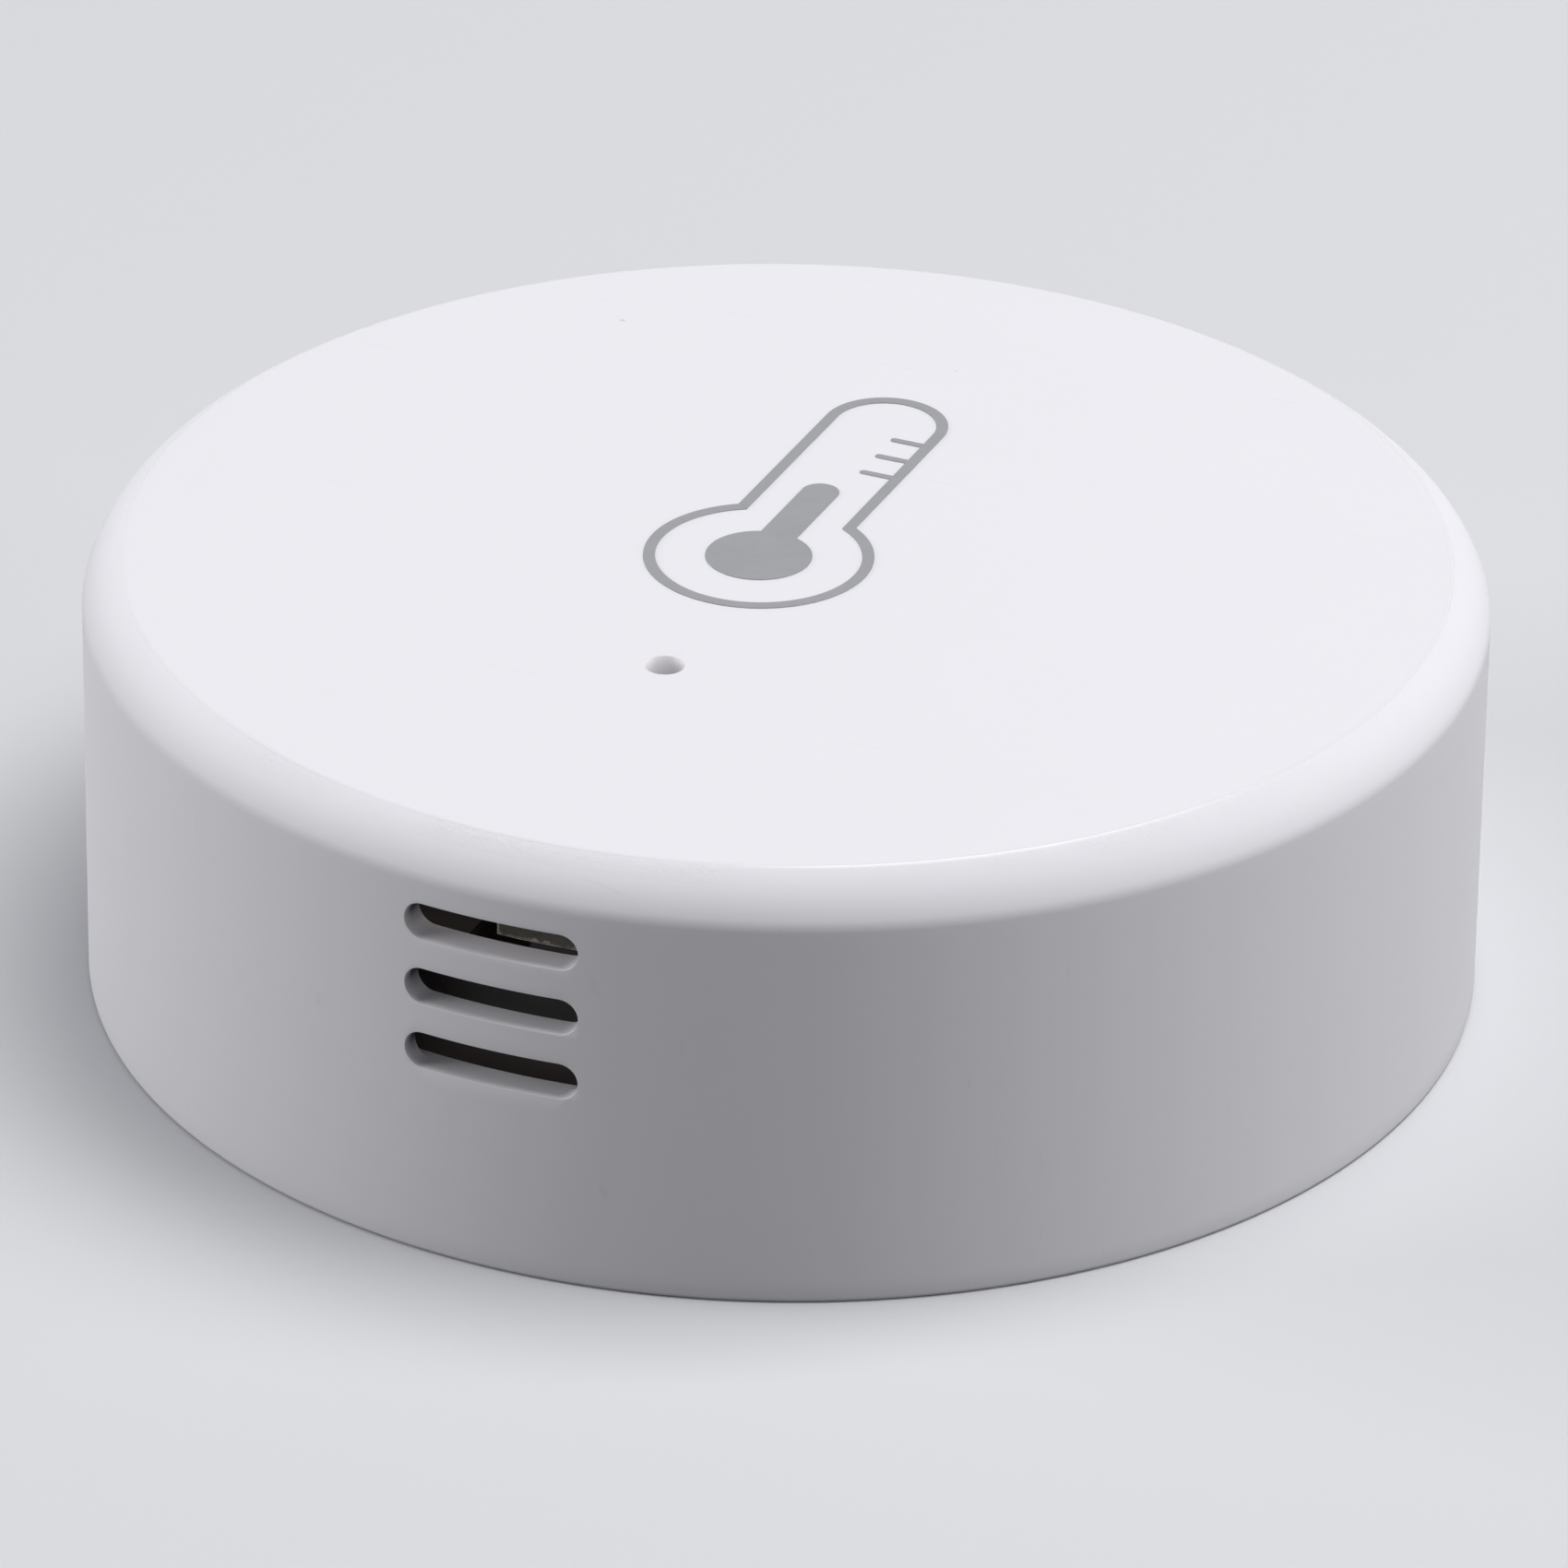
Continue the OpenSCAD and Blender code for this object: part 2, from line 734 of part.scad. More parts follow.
// The steel plate that keeps the plunger in
module switch_plate() {
    color("gainsboro")
        translate([switch_x, switch_y, switch_top_z])
            difference() {
                block([switch_l, switch_w, plate_t], [0, 0, 0]);
                translate([0, 0, -cut])
                    cylinder(r = stem_r + stem_gap, h = plate_t + 2 * cut);
            }
}

// The plunger that a pin presses through the pin hole
module switch_plunger() {
    flange_z = switch_top_z - plunger_play - plunger_flange_t;
    color("dimgray")
        translate([switch_x, switch_y, flange_z]) {
            cylinder(r = plunger_flange_r, h = plunger_flange_t);
            cylinder(r = stem_r, h = plate_top_z + stem_rise - flange_z);
        }
}

// The sprung strip over the cell's cap, with a tab soldered in the board
module negative_spring_contact() {
    finger_h = contact_room - contact_t / 2;
    finger_l = spring_len / 4;
    tab_h = board_top_z + tab_out - web_z + contact_t;
    color("goldenrod") {
        block([spring_w, spring_len, contact_t], [0, 0, web_z - contact_t]);
        block([spring_w / 2, finger_l, finger_h], [0, 0, cell_top_z]);
        block([tab_w, contact_t, tab_h], [0, spring_tab_y - contact_t / 2, web_z - contact_t]);
    }
}

// The strip that touches the side of the can, with a tab soldered in the board
module positive_side_contact() {
    low_z = cell_z + cap_rise;
    color("goldenrod")
        rotate([0, 0, side_contact_turn]) {
            block([contact_t, side_contact_w, under_z - low_z], [cell_r + contact_t / 2, 0, low_z]);
            block([contact_t, tab_w, board_top_z + tab_out - low_z],
                [cell_r + contact_t / 2, 0, low_z]);
        }
}

// The steel can of the coin cell, its rim turned in over the gasket
module cell_can() {
    color("silver")
        rotate_extrude()
            difference() {
                translate([0, cell_z])
                    square([cell_r, can_top_z - cell_z]);
                translate([0, cathode_z])
                    square([can_inner_r, gasket_top_z - cathode_z]);
                translate([0, cathode_z])
                    square([rim_inner_r, can_top_z]);
            }
}

module cell_cathode() {
    color("black")
        translate([0, 0, cathode_z])
            cylinder(r = can_inner_r, h = separator_z - cathode_z);
}

module cell_separator() {
    color("white")
        translate([0, 0, separator_z])
            cylinder(r = can_inner_r, h = separator_t);
}

module cell_anode() {
    color("gray")
        translate([0, 0, anode_z])
            cylinder(r = cap_r - cell_sheet_t, h = anode_top_z - anode_z);
}

// The plastic ring that seals the can against the cap
module cell_gasket() {
    color("steelblue")
        rotate_extrude()
            polygon([
                [cap_r, gasket_z],
                [can_inner_r, gasket_z],
                [can_inner_r, gasket_top_z],
                [rim_inner_r, gasket_top_z],
                [rim_inner_r, can_top_z],
                [cap_r, can_top_z]
            ]);
}

// The steel cap of the coin cell
module cell_cap() {
    color("gainsboro")
        ring(cap_r, cap_r - cell_sheet_t, gasket_z, cell_top_z - gasket_z);
    color("gainsboro")
        translate([0, 0, anode_top_z])
            cylinder(r = cap_r - cell_sheet_t / 2, h = cell_sheet_t);
}

top_shell();
thermometer_mark();
base_cover();
battery_tray();
housing_screws();
circuit_board();
humidity_sensor();
radio_chip();
radio_crystal();
clock_crystal();
chip_antenna();
status_lamp();
reservoir_capacitor();
chip_capacitors();
chip_resistors();
switch_base();
switch_dome();
switch_plate();
switch_plunger();
negative_spring_contact();
positive_side_contact();
cell_can();
cell_cathode();
cell_separator();
cell_anode();
cell_gasket();
cell_cap();
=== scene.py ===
import math

import bmesh
import bpy
from mathutils import Matrix, Vector


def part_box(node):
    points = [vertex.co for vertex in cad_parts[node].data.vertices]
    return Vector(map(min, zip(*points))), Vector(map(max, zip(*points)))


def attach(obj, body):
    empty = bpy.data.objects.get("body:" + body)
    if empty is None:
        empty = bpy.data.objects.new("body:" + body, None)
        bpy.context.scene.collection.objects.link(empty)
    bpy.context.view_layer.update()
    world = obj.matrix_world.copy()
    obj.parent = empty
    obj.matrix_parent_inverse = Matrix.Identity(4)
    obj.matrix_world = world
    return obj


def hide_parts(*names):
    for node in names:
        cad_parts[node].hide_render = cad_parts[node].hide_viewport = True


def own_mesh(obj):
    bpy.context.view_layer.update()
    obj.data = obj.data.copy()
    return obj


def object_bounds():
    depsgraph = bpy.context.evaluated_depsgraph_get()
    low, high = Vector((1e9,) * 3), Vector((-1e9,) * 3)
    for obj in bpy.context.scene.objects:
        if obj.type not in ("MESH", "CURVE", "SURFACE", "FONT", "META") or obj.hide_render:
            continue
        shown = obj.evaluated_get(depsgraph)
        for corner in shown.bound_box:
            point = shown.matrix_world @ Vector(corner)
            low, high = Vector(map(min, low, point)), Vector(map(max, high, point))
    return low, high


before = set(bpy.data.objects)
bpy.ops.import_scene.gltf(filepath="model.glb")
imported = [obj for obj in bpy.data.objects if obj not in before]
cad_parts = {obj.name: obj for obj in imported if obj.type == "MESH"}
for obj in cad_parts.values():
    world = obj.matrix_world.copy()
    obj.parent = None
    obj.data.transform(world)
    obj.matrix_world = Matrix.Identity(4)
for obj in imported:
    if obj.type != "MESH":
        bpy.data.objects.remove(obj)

cad_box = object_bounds()


# The camera stands a third of a metre away with a long lens, 28 degrees above the table.
# The air slots are left of the middle, because the sensor is turned a little on the table.
MM = 0.001
view_turn = math.radians(23.4)
camera_back = 283.98 * MM
camera_rise = 156.72 * MM
camera_pitch = math.radians(28.045)
camera_roll = math.radians(0.781)
sensor_width = 36.0
focal_share = 12159.8 / 1700

forward = Vector((0.0, math.cos(camera_pitch), -math.sin(camera_pitch)))
level_right = Vector((1.0, 0.0, 0.0))
level_up = level_right.cross(forward)
right = math.cos(camera_roll) * level_right + math.sin(camera_roll) * level_up
up = math.cos(camera_roll) * level_up - math.sin(camera_roll) * level_right
camera_place = Matrix((right, up, -forward)).transposed().to_4x4()
camera_place.translation = (0.0, -camera_back, camera_rise)

camera_data = bpy.data.cameras.new("camera")
camera_data.sensor_width = sensor_width
camera_data.lens = sensor_width * focal_share
camera_data.clip_start = 10 * MM
camera = bpy.data.objects.new("camera", camera_data)
camera.matrix_world = Matrix.Rotation(view_turn, 4, "Z") @ camera_place
bpy.context.scene.collection.objects.link(camera)
bpy.context.scene.camera = camera
bpy.context.scene.view_settings.view_transform = "Standard"


# The floor and the studio light: a pale plain sheet under a large softbox, with one more at each
# side. The sheet throws little light back at the object, as a darker one would, while the camera
# and reflections see it pale. A round window in it, hidden by the object, shows the base from below.
def linear(code):
    """An sRGB hex colour as linear red, green, blue and alpha."""
    values = [int(code[i:i + 2], 16) / 255 for i in (1, 3, 5)]
    return [v / 12.92 if v <= 0.04045 else ((v + 0.055) / 1.055) ** 2.4 for v in values] + [1.0]


def add(tree, kind, links=None, **settings):
    """Adds a node. links gives each socket a value, another node's output or a list of them."""
    node = tree.nodes.new(kind)
    for name, value in settings.items():
        setattr(node, name, value)
    for socket, value in (links or {}).items():
        sources = value if isinstance(value, list) else [value]
        if isinstance(sources[0], bpy.types.NodeSocket):
            for source in sources:
                tree.links.new(source, node.inputs[socket])
        else:
            node.inputs[socket].default_value = value
    return node


def new_material(name):
    """An empty material and its node tree."""
    made = bpy.data.materials.new(name)
    made.use_nodes = True
    made.node_tree.nodes.clear()
    return made, made.node_tree


def seen_directly(tree):
    """1 for what the camera, a reflection or glass sees, and 0 for light that a surface gathers."""
    path = add(tree, "ShaderNodeLightPath")
    seen = add(tree, "ShaderNodeMath", {
        0: path.outputs["Is Camera Ray"], 1: path.outputs["Is Glossy Ray"]}, operation="MAXIMUM")
    return add(tree, "ShaderNodeMath", {
        0: seen.outputs[0], 1: path.outputs["Is Transmission Ray"]}, operation="MAXIMUM").outputs[0]


world = bpy.data.worlds.new("studio")
world.use_nodes = True
world.node_tree.nodes.clear()
sky = world.node_tree
sky_way = add(sky, "ShaderNodeTexCoord").outputs["Generated"]
sky_rise = add(sky, "ShaderNodeSeparateXYZ", {0: sky_way}).outputs["Z"]
horizon_glow = add(sky, "ShaderNodeMapRange", {
    "Value": sky_rise, "From Min": 0.2, "From Max": 0.5, "To Min": 0.68, "To Max": 0.1})
room_light = add(sky, "ShaderNodeBackground", {
    "Color": linear("#f4f6fb"), "Strength": horizon_glow.outputs[0]})
backdrop = add(sky, "ShaderNodeBackground", {"Color": linear("#eef0f3"), "Strength": 1.0})
sky_mix = add(sky, "ShaderNodeMixShader", {
    0: seen_directly(sky), 1: room_light.outputs[0], 2: backdrop.outputs[0]})
add(sky, "ShaderNodeOutputWorld", {"Surface": sky_mix.outputs[0]})
bpy.context.scene.world = world

paper, tree = new_material("pale_backdrop_paper")
pale = add(tree, "ShaderNodeBsdfDiffuse", {"Color": linear("#dcdde0")})
dim = add(tree, "ShaderNodeBsdfDiffuse", {"Color": linear("#5a5a5a")})
paper_mix = add(tree, "ShaderNodeMixShader", {
    0: seen_directly(tree), 1: dim.outputs[0], 2: pale.outputs[0]})
add(tree, "ShaderNodeOutputMaterial", {"Surface": paper_mix.outputs[0]})
sheet_r = 2.0
sheet_sides = 96
sheet_lap = 0.3 * MM
sheet_turns = [2 * math.pi * i / sheet_sides for i in range(sheet_sides)]
sheet_points = [(r * math.cos(a), r * math.sin(a), 0.0)
                for r in (cad_box[1][0] - sheet_lap, sheet_r) for a in sheet_turns]
sheet_faces = [(i, i + sheet_sides, (i + 1) % sheet_sides + sheet_sides, (i + 1) % sheet_sides)
               for i in range(sheet_sides)]
floor_mesh = bpy.data.meshes.new("floor")
floor_mesh.from_pydata(sheet_points, [], sheet_faces)
floor = bpy.data.objects.new("floor", floor_mesh)
floor_mesh.materials.append(paper)
bpy.context.scene.collection.objects.link(floor)


def softbox(name, turn, rise, distance, size, power):
    """A square lamp that looks at the object, its turn from the camera and its rise in degrees."""
    lamp = bpy.data.lights.new(name, "AREA")
    lamp.shape = "SQUARE"
    lamp.size = size
    lamp.energy = power
    holder = bpy.data.objects.new(name, lamp)
    around = view_turn + math.radians(turn)
    level = math.cos(math.radians(rise))
    towards = Vector((math.sin(around) * level, -math.cos(around) * level,
                      math.sin(math.radians(rise))))
    holder.location = distance * towards
    holder.rotation_euler = towards.to_track_quat("Z", "Y").to_euler()
    bpy.context.scene.collection.objects.link(holder)


softbox("overhead_softbox", turn=90, rise=72, distance=0.6, size=0.4, power=2.86)
softbox("right_softbox", turn=85, rise=12, distance=0.6, size=0.3, power=0.92)
softbox("left_softbox", turn=-94, rise=16, distance=0.6, size=0.3, power=1.64)


# The top shell: one cup of white ABS from an injection mould, with a rounded top edge, three
# air slots and a pin hole. Three bosses for screws hang from its roof, and the catches and
# stops of the base cover's bayonet are moulded round its rim.
turn_steps = 384
shell_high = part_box("top_shell")[1]
shell_r = shell_high.x
shell_h = shell_high.z
roof_t = 1.4 * MM
roof_z = shell_h - roof_t
wall_top_t = 0.95 * MM
wall_base_t = 0.8 * MM
inner_top_r = shell_r - wall_top_t
inner_base_r = shell_r - wall_base_t
edge_r = 2.38 * MM
edge_end_r = 0.85 * MM
edge_start = 27
edge_join = 66
crease_round = 0.2 * MM
base_break = 0.15 * MM


def arc(centre, radius, start, end, steps):
    """Points along an arc, its angles in degrees."""
    turns = [math.radians(start + (end - start) * i / steps) for i in range(steps + 1)]
    return [(centre[0] + radius * math.cos(a), centre[1] + radius * math.sin(a)) for a in turns]


def circle(centre, radius, sides=48):
    """Points round a whole circle."""
    return arc(centre, radius, 0, 360 - 360 / sides, sides - 1)


def linked(name, mesh):
    """A new object for a mesh, linked to the scene."""
    made = bpy.data.objects.new(name, mesh)
    bpy.context.scene.collection.objects.link(made)
    return made


def closed_mesh(name, points, faces):
    """A mesh with its doubles merged and its faces turned outwards."""
    mesh = bpy.data.meshes.new(name)
    mesh.from_pydata(points, [], faces)
    work = bmesh.new()
    work.from_mesh(mesh)
    bmesh.ops.remove_doubles(work, verts=work.verts, dist=1e-8)
    bmesh.ops.recalc_face_normals(work, faces=work.faces)
    work.to_mesh(mesh)
    work.free()
    return linked(name, mesh)


def turned(name, outline, steps=turn_steps, first=0.0, sweep=360.0, place=Matrix.Identity(4)):
    """A solid of revolution about Z from a closed outline of radius and height."""
    whole = sweep == 360.0
    rings = steps if whole else steps + 1
    points = []
    for i in range(rings):
        a = math.radians(first + sweep * i / steps)
        points += [place @ Vector((r * math.cos(a), r * math.sin(a), z)) for r, z in outline]
    count = len(outline)
    faces = []
    for i in range(steps):
        here = i * count
        there = (i + 1) % rings * count
        for j in range(count):
            k = (j + 1) % count
            if outline[j][0] > 0 or outline[k][0] > 0:
                faces.append((here + j, there + j, there + k, here + k))
    if not whole:
        faces += [tuple(range(count)), tuple(range(steps * count, (steps + 1) * count))]
    return closed_mesh(name, points, faces)


def prism(name, outline, low, high, place=Matrix.Identity(4)):
    """An outline in X and Y drawn up from one height to another."""
    count = len(outline)
    points = [place @ Vector((x, y, z)) for z in (low, high) for x, y in outline]
    faces = [tuple(range(count)), tuple(range(count, 2 * count))]
    faces += [(j, (j + 1) % count, (j + 1) % count + count, j + count) for j in range(count)]
    return closed_mesh(name, points, faces)


def made_plain(piece):
    """Turns what the modifiers make into the piece's own mesh."""
    bpy.context.view_layer.update()
    result = bpy.data.meshes.new_from_object(piece.evaluated_get(bpy.context.evaluated_depsgraph_get()))
    piece.modifiers.clear()
    piece.data = result


def carved(piece, tools, operation="DIFFERENCE"):
    """The piece with each tool cut away or joined on. The tools are used up."""
    for tool in tools:
        step = piece.modifiers.new("carve", "BOOLEAN")
        step.object = tool
        step.operation = operation
        step.solver = "EXACT"
    made_plain(piece)
    for tool in tools:
        bpy.data.objects.remove(tool)
    return piece


def soften(piece, width, chosen=lambda edge: True, steps=3):
    """Rounds the sharp edges, as a mould leaves them, each by the share of width that chosen gives."""
    work = bmesh.new()
    work.from_mesh(piece.data)
    weight = work.edges.layers.float.new("bevel_weight_edge")
    for edge in work.edges:
        if len(edge.link_faces) == 2 and edge.calc_face_angle() > math.radians(40):
            edge[weight] = float(chosen(edge))
    work.to_mesh(piece.data)
    work.free()
    step = piece.modifiers.new("soften", "BEVEL")
    step.limit_method = "WEIGHT"
    step.width = width
    step.segments = steps
    made_plain(piece)
    return piece


def shaded(piece, angle=30.0, creased=lambda ends: False, flats=True):
    """Smooth shading that breaks at sharp or creased edges and, with flats, stays flat on flats."""
    mesh = piece.data
    mesh.shade_smooth()
    mesh.set_sharp_from_angle(angle=math.radians(angle))
    for edge in mesh.edges:
        if creased([mesh.vertices[i].co for i in edge.vertices]):
            edge.use_edge_sharp = True
    if flats:
        step = piece.modifiers.new("even_shading", "WEIGHTED_NORMAL")
        step.keep_sharp = True
        made_plain(piece)
    return piece


def finished(piece, *finishes):
    """The piece with its materials, in the order of its faces' numbers."""
    for finish in finishes:
        piece.data.materials.append(finish)
    return piece


def tilted(centre, radius, tilt):
    """The point of an arc where its surface tilts by an angle from level."""
    turn = math.radians(tilt)
    return centre[0] + radius * math.sin(turn), centre[1] + radius * math.cos(turn)


# The edge's profile is a wide arc that leaves the roof at a crease, then a tighter one that runs
# into the wall. The crease has a fine round of its own, which catches the light.
start_point = tilted((0, 0), edge_r, edge_start)
join_point = tilted((0, 0), edge_r, edge_join)
end_join = tilted((0, 0), edge_end_r, edge_join)
shell_edge_z = shell_h - (start_point[1] - join_point[1]) - end_join[1]
edge_end_centre = (shell_r - edge_end_r, shell_edge_z)
edge_centre = tilted(edge_end_centre, edge_end_r - edge_r, edge_join)
crease_r = tilted(edge_centre, edge_r, edge_start)[0]
crease_run = crease_round * math.tan(math.radians(edge_start / 2))
edge_stop = 90 - edge_start - math.degrees(crease_run / edge_r)
crease_centre = (crease_r - crease_run, shell_h - crease_round)
wall_rows = 24
top_rings = 12
top_ring_w = 1.5 * MM
shell_outline = [(inner_base_r, 0.0)]
shell_outline += arc((shell_r - base_break, base_break), base_break, -90, 0, 4)
shell_outline += [(shell_r, base_break + (shell_edge_z - base_break) * i / wall_rows)
                  for i in range(1, wall_rows)]
shell_outline += arc(edge_end_centre, edge_end_r, 0, 90 - edge_join, 10)
shell_outline += arc(edge_centre, edge_r, 90 - edge_join, edge_stop, 24)[1:]
shell_outline += arc(crease_centre, crease_round, 90 - edge_start, 90, 6)[1:]
shell_outline += [(crease_r - 2 * crease_run - top_ring_w * i, shell_h) for i in range(top_rings)]
shell_outline += [(0.0, shell_h), (0.0, roof_z), (inner_top_r, roof_z)]
top_shell = turned("top_shell_skin", shell_outline)

slot_w = 5.2 * MM
slot_h = 1.1 * MM
slot_pitch = 2.0 * MM
board_low, board_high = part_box("circuit_board")
slot_rise = 1.1 * MM
slot_zs = [board_low.z + slot_rise - i * slot_pitch for i in range(3)]
slot_ends = arc(((slot_w - slot_h) / 2, 0), slot_h / 2, -90, 90, 14)
slot_outline = slot_ends + [(-x, -z) for x, z in slot_ends]
tray_clear = 0.85 * MM
tray_r = inner_top_r - tray_clear
upended = Matrix(((1, 0, 0, 0), (0, 0, -1, 0), (0, 1, 0, 0), (0, 0, 0, 1)))
cut = 0.5 * MM
slot_cutters = [prism("slot_cutter", slot_outline, tray_r, shell_r + cut,
                      Matrix.Translation((0, 0, z)) @ upended) for z in slot_zs]

# The wall is thinned behind the slots, so that air gets through them easily.
slot_wall_t = 0.6 * MM
relief_margin = 1.2 * MM
relief_low = slot_zs[-1] - slot_h / 2
relief_sweep = 2 * math.degrees(math.asin((slot_w / 2 + relief_margin) / shell_r))
relief = turned("relief_cutter", [(tray_r, relief_low), (shell_r - slot_wall_t, relief_low),
                                  (inner_top_r, board_low.z), (tray_r, board_low.z)],
                steps=24, first=-90 - relief_sweep / 2, sweep=relief_sweep)

screw_low, screw_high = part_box("housing_screws")
screw_head_r = 1.4 * MM
screw_circle_r = -screw_low.x - screw_head_r
screw_turns = (60, 180, 300)
screw_places = [Matrix.Rotation(math.radians(turn), 4, "Z")
                @ Matrix.Translation((screw_circle_r, 0, 0)) for turn in screw_turns]
boss_r = 1.6 * MM
boss_foot = 0.4 * MM
pilot_r = 0.65 * MM
pilot_flare = 0.2 * MM
pilot_in_roof = 0.8 * MM
pilot_point = 0.1 * MM
pilot_top_z = roof_z + pilot_in_roof
boss_outline = [(0.0, board_high.z), (boss_r, board_high.z)]
boss_outline += arc((boss_r + boss_foot, roof_z - boss_foot), boss_foot, 180, 90, 6)
boss_outline += [(boss_r + boss_foot, roof_z + cut), (0.0, roof_z + cut)]
pilot_outline = [(0.0, board_high.z - cut), (pilot_r + pilot_flare, board_high.z - cut),
                 (pilot_r + pilot_flare, board_high.z), (pilot_r, board_high.z + pilot_flare),
                 (pilot_r, pilot_top_z), (0.0, pilot_top_z + pilot_point)]
bosses = [turned("boss", boss_outline, 48, place=place) for place in screw_places]
pilots = [turned("pilot", pilot_outline, 32, place=place) for place in screw_places]

cover_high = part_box("base_cover")[1]
cover_r = cover_high.x
lug_turns = (30, 150, 270)
lug_sweep = 24
lug_w = 0.95 * MM
lug_h = 0.8 * MM
free_gap = 0.25 * MM
cover_gap = 0.2 * MM
catch_r = cover_r - lug_w + cover_gap
catch_low = 1.5 * MM
catch_high = cover_high.z - lug_h - cover_gap
catch_root_r = inner_base_r + cover_gap
lead_in = 0.12 * MM
catch_outline = [(catch_r, catch_low + lead_in), (catch_r + lead_in, catch_low),
                 (catch_root_r, catch_low), (catch_root_r, catch_high),
                 (catch_r + lead_in, catch_high), (catch_r, catch_high - lead_in)]
stop_outline = [(catch_r, catch_low), (catch_root_r, catch_low),
                (catch_root_r, cover_high.z), (catch_r, cover_high.z)]
stop_w = 1.0 * MM
stop_turn = math.degrees(math.asin(stop_w / cover_r))
stop_from = lug_sweep + math.degrees(math.asin(free_gap / cover_r))
catches = [turned("catch", catch_outline, 24, turn, lug_sweep) for turn in lug_turns]
catches += [turned("stop", stop_outline, 6, turn + stop_from, stop_turn) for turn in lug_turns]

pin_hole = (-0.2 * MM, -8.0 * MM)
pin_hole_r = 0.565 * MM
pin_cutter = prism("pin_cutter", circle(pin_hole, pin_hole_r), roof_z - cut, shell_h + cut)
carved(top_shell, [relief])
carved(top_shell, bosses + catches, "UNION")
carved(top_shell, slot_cutters + [pin_cutter] + pilots)

rim_round = 0.09 * MM
near = 0.01 * MM
pin_rim_share = 0.35
soften(top_shell, rim_round, lambda edge:
       all(v.co.to_2d().length > shell_r - near and v.co.z > catch_high for v in edge.verts)
       or pin_rim_share * all(v.co.z > shell_h - near for v in edge.verts))
shaded(top_shell, flats=False)


def shade(code, times):
    """A colour with its light taken down or up so many times."""
    return [v * times for v in linear(code)[:3]] + [1.0]


